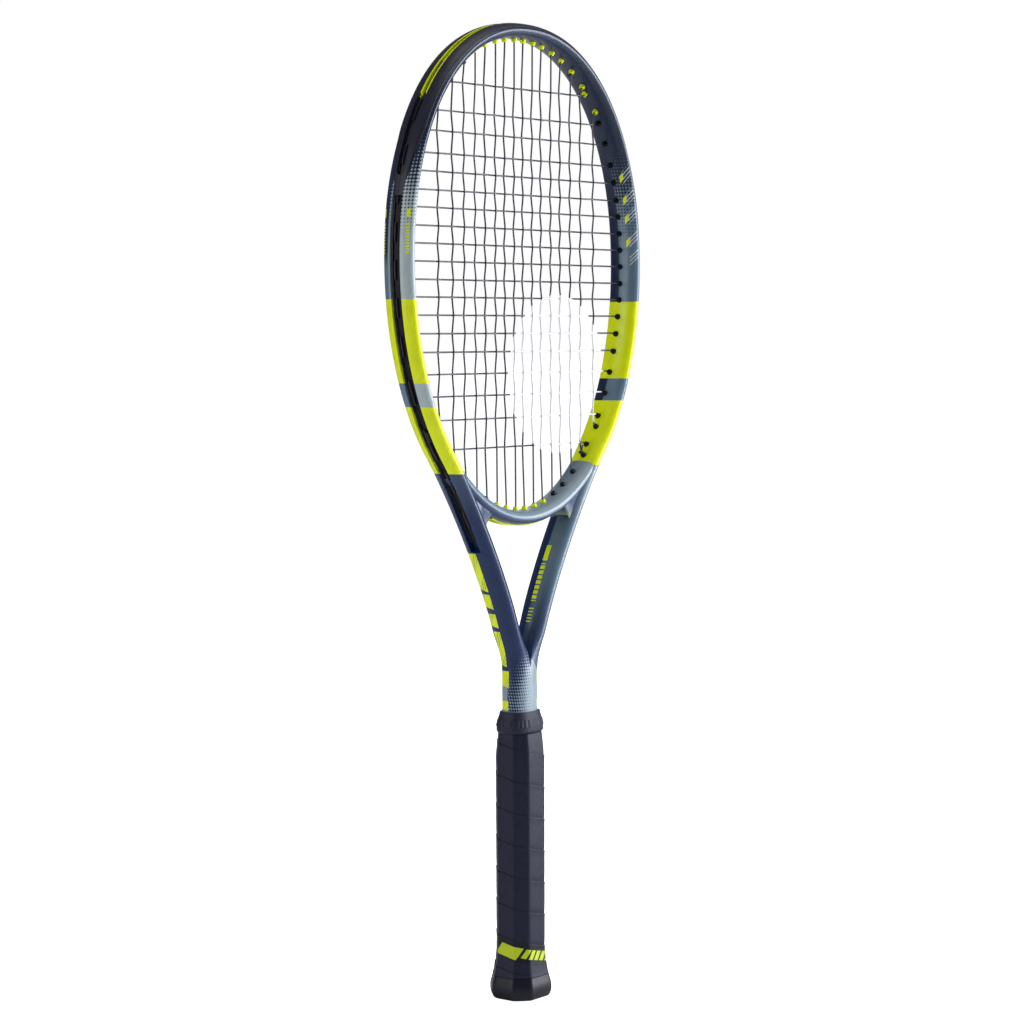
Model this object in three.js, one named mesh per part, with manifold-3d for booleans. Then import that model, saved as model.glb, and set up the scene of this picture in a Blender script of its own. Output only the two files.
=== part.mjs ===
// Strung tennis racket: a hairpin frame with a bonded throat bridge, grommets, strings and an octagonal handle.
// Millimetres. X runs across the head, Y through its thickness (front is -Y), Z up from the butt to the crown.
import * as THREE from "three";
import { mergeVertices } from "three/addons/utils/BufferGeometryUtils.js";
import Module from "manifold-3d";

const wasm = await Module();
wasm.setup();

// ---- Driving dimensions ----

const LENGTH = 685;
const CLEARANCE = 0.3;

// The beam is nearly elliptical: "wide" lies in the plane of the head, "deep" runs front to back.
const BEAM = { wide: 10.85, deep: 24.8, power: 2.15 };

// The head's centreline is two half superellipses that meet at the widest height.
const HEAD = { halfWidth: 128.3, centreZ: 519, down: 178, upPower: 2.156, downPower: 2.01 };
HEAD.up = LENGTH - HEAD.centreZ - BEAM.wide / 2;

// The arms leave the head's oval at this angle from the crown and bend into the shaft.
const ARM = { leavesAt: THREE.MathUtils.degToRad(138), startPull: 33.6, endPull: 44, endX: 6.9, endZ: 225 };
// Arm section against height: [z, wide, deep].
const ARM_SECTIONS = [
  [225, 13.4, 18],
  [245, 13.2, 21.2],
  [270, 13, 22],
  [340, 12, 23.2],
  [400, BEAM.wide, BEAM.deep],
];

// Outer string groove of the frame, measured along the outward normal from the beam's centreline.
const GROOVE = { floor: 1.4, halfWidth: 4.3, endZ: 322 };
// Grommet strips lie in the groove, with a barrel through the frame for each string.
const STRIP = { low: 1.7, high: 2.7, halfWidth: 4 };
const BARREL = { radius: 2.3, bore: 1.4, slantedBore: 1.65, hole: 2.7, proud: 0.75 };

// Strings: mains lie in front, crosses behind, one string each.
const STRING_RADIUS = 0.65;
const STRING_LAYER = 0.8;
const STRING_LOOP = STRIP.high + CLEARANCE + STRING_RADIUS + 0.1;
const STRING_BEND = 0.9;
const MAIN_X = [4.9, 15.6, 25.8, 37.3, 48.2, 60.3, 72.7, 88.1];
const CROSS_Z = [
  640, 620.2, 606.4, 591.3, 579, 566.6, 554.8, 542.6, 530.7, 518.7,
  506.5, 494.7, 482.5, 470.1, 457.5, 442.5, 427.4, 411.3, 391.1,
];

// The bumper guard sits in a recess of the frame's outer face and tapers below tipZ.
const BUMPER = { recess: 1.675, halfWidth: 11, fullZ: 605, tipZ: 561, tipHalfWidth: 5, inner: 4.7 };
const BUMPER_RECESS_END_Z = BUMPER.tipZ - 5;
const BUMPER_SLOT = { halfWidth: 3.3, endZ: 632 };

const BRIDGE_STRIP_ANGLE = THREE.MathUtils.degToRad(15.4);
const BRIDGE_GROOVE_END = THREE.MathUtils.degToRad(17.5);
const BRIDGE = { deep: 22, halfAngle: THREE.MathUtils.degToRad(34) };
// A thinner web fills each corner between the bridge and an arm, down to this height on the arm.
const WEB = { deep: 17, startAngle: THREE.MathUtils.degToRad(30), endAngle: BRIDGE_GROOVE_END, endZ: 334 };
const HEAD_STRIP_END_Z = 626;
const SIDE_STRIP_TOP_Z = HEAD_STRIP_END_Z - CLEARANCE;

// Shaft and handle. Half sizes are [x, y].
const SHAFT = { power: 2.3, half: [14.15, 10.3], innerHalf: [11.2, 7.7], bottomZ: 26, topZ: 238 };
const HANDLE = { octagonCut: 0.234, capWall: 1.2, gripWall: 1.3 };
const PALLET = { bottomZ: 6, stepZ: 46.5, topZ: 171.5 };
// Outside of the covered handle against height: [z, x size, y size].
const GRIP_PROFILE = [
  [16.4, 38.8, 35.0],
  [19, 37.4, 33.7],
  [26, 35.3, 31.7],
  [34, 33.5, 30],
  [172, 33.5, 30],
  [187.6, 31.4, 26.6],
];
const BUTT_PROFILE = [
  [0, 37, 33.4],
  [1.2, 39.6, 35.8],
  [3.5, 41.6, 37.5],
  [8, 42.5, 38.3],
  [11, 41.8, 37.6],
  [14, 40, 36.1],
  [16, 38.9, 35.1],
];
const BUTT_TOP_Z = PALLET.stepZ - 0.5;
const DOOR = { size: [19, 14.6], low: 0.6, high: 2.3, plate: 3 };
const TAPE = { low: 188, high: 197, wall: 0.8 };
// Rubber collar against height: [z, outer half x, outer half y].
const COLLAR_PROFILE = [
  [188, 16.5, 13],
  [189.5, 17.3, 14],
  [193, 17.3, 14],
  [198, 16.4, 12.9],
  [203, 15.3, 11.5],
];
const COLLAR_POWER = 2.6;
const STAPLE = { width: 7, wire: [0.6, 0.8], leg: 3.4, z: 38, x: 4.4 };

const COLOURS = {
  frame: 0x4c5c74,
  bridge: 0x9fb1c2,
  bumper: 0x23242f,
  lime: 0xc6d81a,
  grommet: 0x24252e,
  string: 0xb9babd,
  foam: 0xc9c2a8,
  cap: 0x22232c,
  grip: 0x30323e,
  rubber: 0x2a2b38,
  tape: 0x17181d,
  steel: 0xa8a8a8,
};

// ---- Solids ----

// Turns a closed geometry into a manifold solid whose faces point out.
function solid(geometry) {
  const bare = geometry.clone();
  bare.deleteAttribute("normal");
  bare.deleteAttribute("uv");
  const merged = mergeVertices(bare, 1e-4);
  return new wasm.Manifold(
    new wasm.Mesh({
      numProp: 3,
      vertProperties: merged.attributes.position.array,
      triVerts: new Uint32Array(merged.index.array),
    }),
  );
}

function signedVolume(points, faces) {
  let volume = 0;
  for (const [a, b, c] of faces) {
    volume += points[a].dot(new THREE.Vector3().crossVectors(points[b], points[c])) / 6;
  }
  return volume;
}

// A closed skin through rings of equally many points; the outline, in 2D, closes both ends.
function loft(rings, outline) {
  const count = outline.length;
  const points = rings.flat();
  const faces = [];
  for (let r = 0; r + 1 < rings.length; r++) {
    for (let i = 0; i < count; i++) {
      const a = r * count + i;
      const b = r * count + ((i + 1) % count);
      faces.push([a, b, b + count], [a, b + count, a + count]);
    }
  }
  const last = (rings.length - 1) * count;
  const turn = Math.sign(THREE.ShapeUtils.area(outline));
  for (const face of THREE.ShapeUtils.triangulateShape(outline, [])) {
    const same = Math.sign(THREE.ShapeUtils.area(face.map((i) => outline[i]))) === turn;
    const [a, b, c] = same ? face : [...face].reverse();
    faces.push([a, c, b], [last + a, last + b, last + c]);
  }
  if (signedVolume(points, faces) < 0) faces.forEach((face) => face.reverse());
  const geometry = new THREE.BufferGeometry().setFromPoints(points);
  geometry.setIndex(faces.flat());
  return solid(geometry);
}

// A prism from a to b with a regular cross-section.
function rod(a, b, radius, sides = 6) {
  const along = new THREE.Vector3().subVectors(b, a);
  const geometry = new THREE.CylinderGeometry(radius, radius, along.length(), sides);
  const turn = new THREE.Quaternion().setFromUnitVectors(
    new THREE.Vector3(0, 1, 0),
    along.clone().normalize(),
  );
  geometry.applyQuaternion(turn);
  geometry.translate(...new THREE.Vector3().addVectors(a, b).multiplyScalar(0.5).toArray());
  return solid(geometry);
}

function box(size, centre) {
  const geometry = new THREE.BoxGeometry(...size);
  geometry.translate(...centre);
  return solid(geometry);
}

function largest(made) {
  const bodies = made.decompose();
  return bodies.reduce((best, body) => (body.volume() > best.volume() ? body : best));
}

const racket = new THREE.Group();

function piece(name, made, colour, roughness = 0.5, metalness = 0) {
  const mesh = made.getMesh();
  const geometry = new THREE.BufferGeometry();
  geometry.setAttribute("position", new THREE.BufferAttribute(mesh.vertProperties, 3));
  geometry.setIndex(new THREE.BufferAttribute(mesh.triVerts, 1));
  const flat = geometry.toNonIndexed();
  flat.computeVertexNormals();
  const material = new THREE.MeshStandardMaterial({ color: colour, roughness, metalness });
  const named = new THREE.Mesh(flat, material);
  named.name = name;
  racket.add(named);
}

// ---- Centrelines ----

// A point of the head's oval on the right-hand side, at an angle from the crown, with its outward normal.
function oval(angle) {
  const c = Math.cos(angle);
  const rise = c < 0 ? HEAD.down : HEAD.up;
  const power = c < 0 ? HEAD.downPower : HEAD.upPower;
  const across = Math.abs(Math.sin(angle)) ** (2 / power);
  const along = Math.abs(c) ** (2 / power);
  const side = Math.sign(c);
  return {
    centre: new THREE.Vector2(HEAD.halfWidth * across, HEAD.centreZ + side * rise * along),
    normal: new THREE.Vector2(
      across ** (power - 1) / HEAD.halfWidth,
      (side * along ** (power - 1)) / rise,
    ).normalize(),
  };
}

const armStart = oval(ARM.leavesAt);
const armHeading = new THREE.Vector2(armStart.normal.y, -armStart.normal.x);
const armCurve = new THREE.CubicBezierCurve(
  armStart.centre,
  armStart.centre.clone().addScaledVector(armHeading, ARM.startPull),
  new THREE.Vector2(ARM.endX, ARM.endZ + ARM.endPull),
  new THREE.Vector2(ARM.endX, ARM.endZ),
);

function mirrored({ centre, normal }, sign) {
  return {
    centre: new THREE.Vector2(sign * centre.x, centre.y),
    normal: new THREE.Vector2(sign * normal.x, normal.y),
  };
}

// The hairpin's centreline: 0 at the crown, 1 where an arm leaves the oval, 2 at its end; minus on the left.
function rail(at) {
  const q = Math.abs(at);
  const sign = at < 0 ? -1 : 1;
  if (q <= 1) return mirrored(oval(q * ARM.leavesAt), sign);
  const tangent = armCurve.getTangent(q - 1);
  const normal = new THREE.Vector2(-tangent.y, tangent.x);
  return mirrored({ centre: armCurve.getPoint(q - 1), normal }, sign);
}

// The bridge's centreline: the angle is measured from the bottom of the oval, minus on the left.
function bridgeRail(at) {
  return mirrored(oval(Math.PI - Math.abs(at)), at < 0 ? -1 : 1);
}

function offset({ centre, normal }, distance) {
  return centre.clone().addScaledVector(normal, distance);
}

function inSpace(flat, y) {
  return new THREE.Vector3(flat.x, y, flat.y);
}

// The argument between low and high where a steadily changing function reaches zero.
function solve(rule, low, high) {
  const rising = rule(high) > rule(low);
  for (let i = 0; i < 50; i++) {
    const middle = (low + high) / 2;
    if (rule(middle) > 0 === rising) high = middle;
    else low = middle;
  }
  return (low + high) / 2;
}

function railAtHeight(z) {
  return solve((q) => rail(q).centre.y - z, 0.02, 1.95);
}

function spread(from, to, count) {
  return Array.from({ length: count + 1 }, (_, i) => from + ((to - from) * i) / count);
}

function interpolate(table, z, column) {
  const rows = [...table].sort((a, b) => a[0] - b[0]);
  if (z <= rows[0][0]) return rows[0][column];
  for (let i = 1; i < rows.length; i++) {
    if (z > rows[i][0]) continue;
    const part = (z - rows[i - 1][0]) / (rows[i][0] - rows[i - 1][0]);
    return THREE.MathUtils.lerp(rows[i - 1][column], rows[i][column], part);
  }
  return rows.at(-1)[column];
}

// ---- Sections, as [along the outward normal, along Y] ----

function superellipse(halfX, halfY, power, angle) {
  const c = Math.cos(angle);
  const s = Math.sin(angle);
  return new THREE.Vector2(
    Math.sign(c) * halfX * Math.abs(c) ** (2 / power),
    Math.sign(s) * halfY * Math.abs(s) ** (2 / power),
  );
}

const BEAM_SIDES = 14;

// The beam's section, open at its outer side for a groove with this floor.
function beamSection(wide, deep, recess, floor) {
  const outer = wide / 2 - recess;
  const edge = GROOVE.halfWidth / (deep / 2);
  const first = Math.asin(edge ** (BEAM.power / 2));
  const skin = spread(first, 2 * Math.PI - first, BEAM_SIDES - 1).map((angle) =>
    superellipse(Math.cos(angle) > 0 ? outer : wide / 2, deep / 2, BEAM.power, angle),
  );
  const depth = Math.min(floor, skin[0].x - 0.05);
  return [
    ...skin,
    new THREE.Vector2(depth, skin.at(-1).y),
    new THREE.Vector2(depth, skin[0].y),
  ];
}

function ringOf(station, section) {
  return section.map((p) => inSpace(offset(station, p.x), p.y));
}

// A skin along a track, whose section may depend on the place.
function sweep(track, places, sectionAt) {
  const sections = places.map(sectionAt);
  const rings = places.map((at, i) => ringOf(track(at), sections[i]));
  return loft(rings, sections[0]);
}

function armSection(at, grow = 0) {
  const z = rail(at).centre.y;
  const wide = interpolate(ARM_SECTIONS, z, 1) + 2 * grow;
  const deep = interpolate(ARM_SECTIONS, z, 2) + 2 * grow;
  return { z, wide, deep };
}

function rectangle(low, high, halfY) {
  return [
    new THREE.Vector2(low, -halfY),
    new THREE.Vector2(high, -halfY),
    new THREE.Vector2(high, halfY),
    new THREE.Vector2(low, halfY),
  ];
}

// ---- String gates: where a string passes through the frame ----

// Beside the throat the wall is met by an arm, so a passage there slants between the two normals.
const armNormal = rail(1.3).normal;

function meetsArm(angle) {
  return angle > ARM.leavesAt && Math.PI - angle > BRIDGE_STRIP_ANGLE;
}

function passageWay(angle) {
  const { normal } = oval(angle);
  return meetsArm(angle) ? normal.clone().add(armNormal).normalize() : normal;
}

// Where a string turns into its passage, just inside the head.
function bendAt(angle) {
  const entry = offset(oval(angle), -BEAM.wide / 2);
  return entry.addScaledVector(passageWay(angle), -BARREL.proud - STRING_BEND);
}

function gate(angle, sign, y) {
  const way = passageWay(angle);
  const bend = bendAt(angle);
  const slanted = meetsArm(angle);
  const belowBottom = Math.PI - angle;
  const track = !slanted && angle > ARM.leavesAt ? bridgeRail : rail;
  let at = track === bridgeRail ? belowBottom : angle / ARM.leavesAt;
  if (slanted) {
    at = solve((q) => offset(rail(q), STRING_LOOP).sub(bend).cross(way), 1, 1.8);
  }
  const onSide = (p) => new THREE.Vector2(sign * p.x, p.y);
  return {
    y,
    track,
    slanted,
    at: sign * at,
    way: onSide(way),
    bend: onSide(bend),
    mouth: onSide(bend.clone().addScaledVector(way, STRING_BEND)),
    out: offset(track(sign * at), STRING_LOOP),
  };
}

function wallAngle(rule, low, high) {
  return solve((angle) => rule(bendAt(angle)), low, high);
}

const RIGHT_ANGLE = Math.PI / 2;

function mainGate(index, top) {
  const fromCentre = index < 8 ? 7 - index : index - 8;
  const sign = index < 8 ? -1 : 1;
  const x = MAIN_X[fromCentre];
  const angle = top
    ? wallAngle((p) => p.x - x, 0.001, RIGHT_ANGLE)
    : wallAngle((p) => p.x - x, RIGHT_ANGLE, Math.PI - 0.001);
  return gate(angle, sign, -STRING_LAYER);
}

function crossGate(index, right) {
  const angle = wallAngle((p) => p.y - CROSS_Z[index], 0.3, 2.5);
  return gate(angle, right ? 1 : -1, STRING_LAYER);
}

const mainGates = [...Array(2 * MAIN_X.length).keys()].map((i) => ({
  top: mainGate(i, true),
  bottom: mainGate(i, false),
}));
const crossGates = CROSS_Z.map((_, i) => ({ left: crossGate(i, false), right: crossGate(i, true) }));
const gates = [
  ...mainGates.flatMap((main) => [main.top, main.bottom]),
  ...crossGates.flatMap((cross) => [cross.left, cross.right]),
];

// A rod along a gate, from past its mouth to past the groove.
function gateRod(passage, radius, inside, outside, sides = 6) {
  const start = passage.mouth.clone().addScaledVector(passage.way, -inside);
  const end = passage.out.clone().addScaledVector(passage.way, outside);
  return rod(inSpace(start, passage.y), inSpace(end, passage.y), radius, sides);
}

function drilled(made, passages) {
  return passages.reduce((left, passage) => left.subtract(gateRod(passage, BARREL.hole, 2, 3)), made);
}

// Every piece that follows the rail takes its sections at the same places, so that their facets stay parallel.
const grooveEnd = railAtHeight(GROOVE.endZ);
const RAIL_GRID = [
  ...spread(0, 1, 20),
  ...spread(1, 2, 10).slice(1),
  grooveEnd - 0.002,
  grooveEnd + 0.002,
  railAtHeight(BUMPER.tipZ - 0.5),
  railAtHeight(BUMPER_RECESS_END_Z),
];

function placesBetween(from, to) {
  const low = Math.min(from, to);
  const high = Math.max(from, to);
  const grid = [...RAIL_GRID.slice(1).map((q) => -q), ...RAIL_GRID];
  const inside = grid.filter((q) => q > low + 0.004 && q < high - 0.004);
  return [low, ...inside, high].sort((a, b) => a - b);
}

// ---- Frame tube, with the shaft that both arms run into ----

function frameTube() {
  const tube = sweep(rail, placesBetween(-2, 2), (at) => {
    const { z, wide, deep } = armSection(at);
    const onBumper = THREE.MathUtils.clamp((z - BUMPER_RECESS_END_Z) / 4, 0, 1);
    const floor = z > GROOVE.endZ ? GROOVE.floor : Infinity;
    return beamSection(wide, deep, BUMPER.recess * onBumper, floor);
  });
  const angles = spread(0, 2 * Math.PI, 20).slice(1);
  const levels = [
    [SHAFT.bottomZ, ...SHAFT.innerHalf],
    [PALLET.topZ + 2, ...SHAFT.innerHalf],
    [PALLET.topZ + 8, ...SHAFT.half],
    [SHAFT.topZ - 14, ...SHAFT.half],
    [SHAFT.topZ, 10, 8.4],
  ];
  const rings = levels.map(([z, x, y]) =>
    angles.map((a) => inSpaceLevel(superellipse(x, y, SHAFT.power, a), z)),
  );
  const shaft = loft(rings, angles.map((a) => superellipse(...SHAFT.innerHalf, SHAFT.power, a)));
  return drilled(tube.add(shaft), gates);
}

function inSpaceLevel(flat, z) {
  return new THREE.Vector3(flat.x, flat.y, z);
}

piece("frame_tube", largest(frameTube()), COLOURS.frame, 0.3);

// ---- Throat bridge between the arms, with a web in each corner ----

function cornerWeb(sign) {
  const onBridge = spread(WEB.startAngle, WEB.endAngle, 5).map((at) => bridgeRail(at).centre);
  const armLow = railAtHeight(WEB.endZ);
  const armHigh = railAtHeight(bridgeRail(WEB.startAngle).centre.y - 1);
  const onArm = spread(armLow, armHigh, 3).map((at) => rail(at).centre);
  const outline = [...onBridge, ...onArm].map((p) => new THREE.Vector2(sign * p.x, p.y));
  const rings = [-1, 1].map((side) => outline.map((p) => inSpace(p, (side * WEB.deep) / 2)));
  return loft(rings, outline);
}

function throatBridge() {
  const places = spread(-BRIDGE.halfAngle, BRIDGE.halfAngle, 24);
  const beam = sweep(bridgeRail, places, (at) => {
    const grooved = Math.abs(at) < BRIDGE_GROOVE_END;
    return beamSection(BEAM.wide, BRIDGE.deep, 0, grooved ? GROOVE.floor : Infinity);
  });
  const room = (sign) =>
    sweep(rail, placesBetween(sign * 0.9, sign * 1.9), (at) => {
      const { wide, deep } = armSection(at, CLEARANCE);
      return beamSection(wide, deep, 0, Infinity);
    });
  const whole = beam.add(cornerWeb(-1)).add(cornerWeb(1));
  return drilled(whole.subtract(room(-1)).subtract(room(1)), gates);
}

piece("throat_bridge", largest(throatBridge()), COLOURS.bridge, 0.3);

// ---- Grommet strips ----

// A strip on a track through sorted places, with a barrel for each gate that it holds.
function grommetStrip(track, places) {
  const low = places[0];
  const high = places.at(-1);
  const held = gates.filter((g) => g.track === track && g.at > low && g.at < high);
  const base = sweep(track, places, () => rectangle(STRIP.low, STRIP.high, STRIP.halfWidth));
  const barrels = held.map((g) => gateRod(g, BARREL.radius, 0, g.slanted ? -1.9 : -1.6));
  const joined = barrels.reduce((made, barrel) => made.add(barrel), base);
  const bores = held.map((g) => gateRod(g, g.slanted ? BARREL.slantedBore : BARREL.bore, 2, 3, 4));
  return bores.reduce((made, bore) => made.subtract(bore), joined);
}

const headEnd = railAtHeight(HEAD_STRIP_END_Z);
const sideTop = railAtHeight(SIDE_STRIP_TOP_Z - 0.3);
const sideEnd = railAtHeight(GROOVE.endZ + 6);
piece("head_grommet_strip", grommetStrip(rail, placesBetween(-headEnd, headEnd)), COLOURS.lime, 0.4);
piece("left_grommet_strip", grommetStrip(rail, placesBetween(-sideTop, -sideEnd)), COLOURS.grommet, 0.5);
piece("right_grommet_strip", grommetStrip(rail, placesBetween(sideTop, sideEnd)), COLOURS.grommet, 0.5);
piece(
  "throat_grommet_strip",
  grommetStrip(bridgeRail, spread(-BRIDGE_STRIP_ANGLE, BRIDGE_STRIP_ANGLE, 10)),
  COLOURS.lime,
  0.4,
);

// ---- Bumper guard over the crown ----

function bumperGuard() {
  const end = railAtHeight(BUMPER.tipZ);
  const guard = sweep(rail, placesBetween(-end, end), (at) => {
    const z = rail(at).centre.y;
    const fullness = THREE.MathUtils.clamp((z - BUMPER.tipZ) / (BUMPER.fullZ - BUMPER.tipZ), 0, 1);
    const half = THREE.MathUtils.lerp(BUMPER.tipHalfWidth, BUMPER.halfWidth, fullness);
    const face = (y, a) => a * (1 - (Math.abs(y) / (BEAM.deep / 2)) ** BEAM.power) ** (1 / BEAM.power);
    const outer = spread(-half, half, 6).map((y) => new THREE.Vector2(face(y, BEAM.wide / 2), y));
    const under = (y) => new THREE.Vector2(face(y, BEAM.wide / 2 - BUMPER.recess) + CLEARANCE, y);
    const cover = (y) => new THREE.Vector2(BUMPER.inner, y);
    const shelf = GROOVE.halfWidth + 0.1;
    const wide = Math.max(half * 0.7, shelf + 0.2);
    return [
      ...outer,
      under(half),
      under(wide),
      under(shelf),
      cover(shelf - 0.2),
      cover(-shelf + 0.2),
      under(-shelf),
      under(-wide),
      under(-half),
    ];
  });
  const slotEnd = railAtHeight(BUMPER_SLOT.endZ);
  const slot = sweep(rail, placesBetween(-slotEnd, slotEnd), () =>
    rectangle(3, BEAM.wide, BUMPER_SLOT.halfWidth),
  );
  return guard.subtract(slot);
}

piece("bumper_guard", bumperGuard(), COLOURS.bumper, 0.5);

// ---- Strings ----

const LOOP_STEP = { rail: 0.035, bridge: 0.09 };

// The stretch of string in the groove between two gates on one track.
function loop(from, to) {
  const step = from.track === rail ? LOOP_STEP.rail : LOOP_STEP.bridge;
  const count = Math.max(1, Math.round(Math.abs(to.at - from.at) / step));
  return spread(from.at, to.at, count).map((at) => offset(from.track(at), STRING_LOOP));
}

function tail(passage) {
  const away = passage.at - Math.sign(passage.at) * 0.02;
  return offset(passage.track(away), STRING_LOOP);
}

// A string through flat points at one depth.
function stringAlong(points, y) {
  const spine = points.map((p) => inSpace(p, y));
  const sides = [...Array(6).keys()].map((i) => (i * Math.PI) / 3);
  const outline = sides.map((a) => new THREE.Vector2(Math.cos(a), Math.sin(a)));
  const rings = spine.map((point, i) => {
    const before = spine[Math.max(i - 1, 0)];
    const after = spine[Math.min(i + 1, spine.length - 1)];
    const towards = new THREE.Vector3().subVectors(after, point).normalize();
    const behind = new THREE.Vector3().subVectors(point, before).normalize();
    const along = towards.add(behind).normalize();
    const across = new THREE.Vector3(-along.z, 0, along.x);
    return outline.map((p) =>
      point
        .clone()
        .addScaledVector(across, p.x * STRING_RADIUS)
        .add(new THREE.Vector3(0, p.y * STRING_RADIUS, 0)),
    );
  });
  return loft(rings, outline);
}

// Each run goes in at one gate and out at the next; a loop in the groove joins it to the run after it.
function serpentine(runs) {
  const points = [tail(runs[0][0]), runs[0][0].out];
  runs.forEach(([start, end], i) => {
    points.push(start.bend, end.bend);
    const next = runs[i + 1];
    if (next) points.push(...loop(end, next[0]));
  });
  const last = runs.at(-1)[1];
  return [...points, last.out, tail(last)];
}

const mainRuns = mainGates.map(({ top, bottom }, i) => (i % 2 ? [top, bottom] : [bottom, top]));
const crossRuns = crossGates.map(({ left, right }, i) => (i % 2 ? [right, left] : [left, right]));
piece("main_string", stringAlong(serpentine(mainRuns), -STRING_LAYER), COLOURS.string, 0.35);
piece("cross_string", stringAlong(serpentine(crossRuns), STRING_LAYER), COLOURS.string, 0.35);

// ---- Handle ----

function octagon(x, y) {
  const cut = HANDLE.octagonCut * x;
  const a = x / 2;
  const b = y / 2;
  return [
    [a, cut - b],
    [a, b - cut],
    [a - cut, b],
    [cut - a, b],
    [-a, b - cut],
    [-a, cut - b],
    [cut - a, -b],
    [a - cut, -b],
  ].map(([px, py]) => new THREE.Vector2(px, py));
}

// An octagonal solid from a table of [z, x size, y size], inset all round.
function octagonStack(table, inset = 0) {
  const outlines = table.map(([, x, y]) => octagon(x - 2 * inset, y - 2 * inset));
  const rings = table.map(([z], i) => outlines[i].map((p) => inSpaceLevel(p, z)));
  return loft(rings, outlines[0]);
}

function rounded(table, power, grow = 0) {
  const angles = spread(0, 2 * Math.PI, 20).slice(1);
  const outlineOf = ([, x, y]) => angles.map((a) => superellipse(x + grow, y + grow, power, a));
  const rings = table.map((row) => outlineOf(row).map((p) => inSpaceLevel(p, row[0])));
  return loft(rings, outlineOf(table[0]));
}

const full = GRIP_PROFILE.find(([z]) => z === 172).slice(1);
const gripInset = HANDLE.gripWall;
const capInset = gripInset + CLEARANCE;
const palletInset = capInset + HANDLE.capWall + CLEARANCE;
const flare = GRIP_PROFILE.filter(([z]) => z < PALLET.stepZ);

function staplePath(side, x) {
  const [thick, high] = STAPLE.wire;
  const face = full[1] / 2 - capInset - 0.05;
  const crown = box([STAPLE.width, thick, high], [x, side * (face - thick / 2), STAPLE.z]);
  return [-1, 1].reduce((made, end) => {
    const legX = x + (end * (STAPLE.width - thick)) / 2;
    return made.add(box([thick, STAPLE.leg, high], [legX, side * (face - STAPLE.leg / 2), STAPLE.z]));
  }, crown);
}

function stapleRoom(side, x) {
  const [thick, high] = STAPLE.wire;
  const gap = CLEARANCE;
  const face = full[1] / 2 - capInset + 1;
  const crown = box(
    [STAPLE.width + 2 * gap, thick + gap + 1, high + 2 * gap],
    [x, side * (face - (thick + gap + 1) / 2), STAPLE.z],
  );
  return [-1, 1].reduce((made, end) => {
    const legX = x + (end * (STAPLE.width - thick)) / 2;
    const reach = STAPLE.leg + 1 + gap;
    const size = [thick + 2 * gap, reach, high + 2 * gap];
    return made.add(box(size, [legX, side * (face - reach / 2), STAPLE.z]));
  }, crown);
}

const staplePlaces = [
  ["front_left", -1, -STAPLE.x],
  ["front_right", -1, STAPLE.x],
  ["back_left", 1, -STAPLE.x],
  ["back_right", 1, STAPLE.x],
];
const allStapleRoom = staplePlaces
  .map(([, side, x]) => stapleRoom(side, x))
  .reduce((made, room) => made.add(room));

function handlePallet(side) {
  const [x, y] = full;
  const stack = octagonStack([
    [PALLET.bottomZ, x - 2 * palletInset, y - 2 * palletInset],
    [PALLET.stepZ, x - 2 * palletInset, y - 2 * palletInset],
    [PALLET.stepZ + 0.2, x - 2 * capInset, y - 2 * capInset],
    [PALLET.topZ, x - 2 * capInset, y - 2 * capInset],
  ]);
  const channel = rounded(
    [
      [0, ...SHAFT.innerHalf],
      [PALLET.topZ + 10, ...SHAFT.innerHalf],
    ],
    SHAFT.power,
    CLEARANCE,
  );
  const otherHalf = box([60, 30, 400], [0, -side * (15 - CLEARANCE / 2), 100]);
  return largest(stack.subtract(channel).subtract(otherHalf).subtract(allStapleRoom));
}

piece("front_pallet", handlePallet(-1), COLOURS.foam, 0.9);
piece("back_pallet", handlePallet(1), COLOURS.foam, 0.9);

function buttCap() {
  const sleeve = [
    ...flare.map(([z, x, y]) => [z, x - 2 * capInset, y - 2 * capInset]),
    [BUTT_TOP_Z, full[0] - 2 * capInset, full[1] - 2 * capInset],
  ];
  sleeve[0][0] = BUTT_PROFILE.at(-1)[0] + 0.1;
  const outside = octagonStack([...BUTT_PROFILE, ...sleeve]);
  const [x, y] = full;
  const room = palletInset - CLEARANCE;
  const inside = octagonStack([
    [DOOR.plate, x - 2 * room, y - 2 * room],
    [BUTT_TOP_Z + 5, x - 2 * room, y - 2 * room],
  ]);
  const doorway = octagonStack([
    [-1, DOOR.size[0] + 2 * CLEARANCE, DOOR.size[1] + 2 * CLEARANCE],
    [DOOR.plate + 1, DOOR.size[0] + 2 * CLEARANCE, DOOR.size[1] + 2 * CLEARANCE],
  ]);
  return outside.subtract(inside).subtract(doorway).subtract(allStapleRoom);
}

piece("butt_cap", buttCap(), COLOURS.cap, 0.45);

function buttDoor() {
  const plate = octagonStack([
    [DOOR.low, ...DOOR.size],
    [DOOR.high, ...DOOR.size],
  ]);
  const clip = (side) => box([1.4, 5, 3.4], [side * (DOOR.size[0] / 2 - 0.7), 0, DOOR.high + 1.2]);
  return plate.add(clip(-1)).add(clip(1));
}

piece("butt_cap_door", buttDoor(), COLOURS.cap, 0.5);

for (const [place, side, x] of staplePlaces) {
  piece("staple_" + place, staplePath(side, x), COLOURS.steel, 0.3, 1);
}

function gripSleeve() {
  const outside = octagonStack(GRIP_PROFILE);
  const inner = GRIP_PROFILE.map(([z, x, y]) => [z, x - 2 * gripInset, y - 2 * gripInset]);
  inner[0][0] -= 1;
  const top = inner.at(-1);
  inner.splice(-1, 1, [top[0] + 1, top[1], top[2]]);
  return outside.subtract(octagonStack(inner));
}

piece("grip", gripSleeve(), COLOURS.grip, 0.6);

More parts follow.
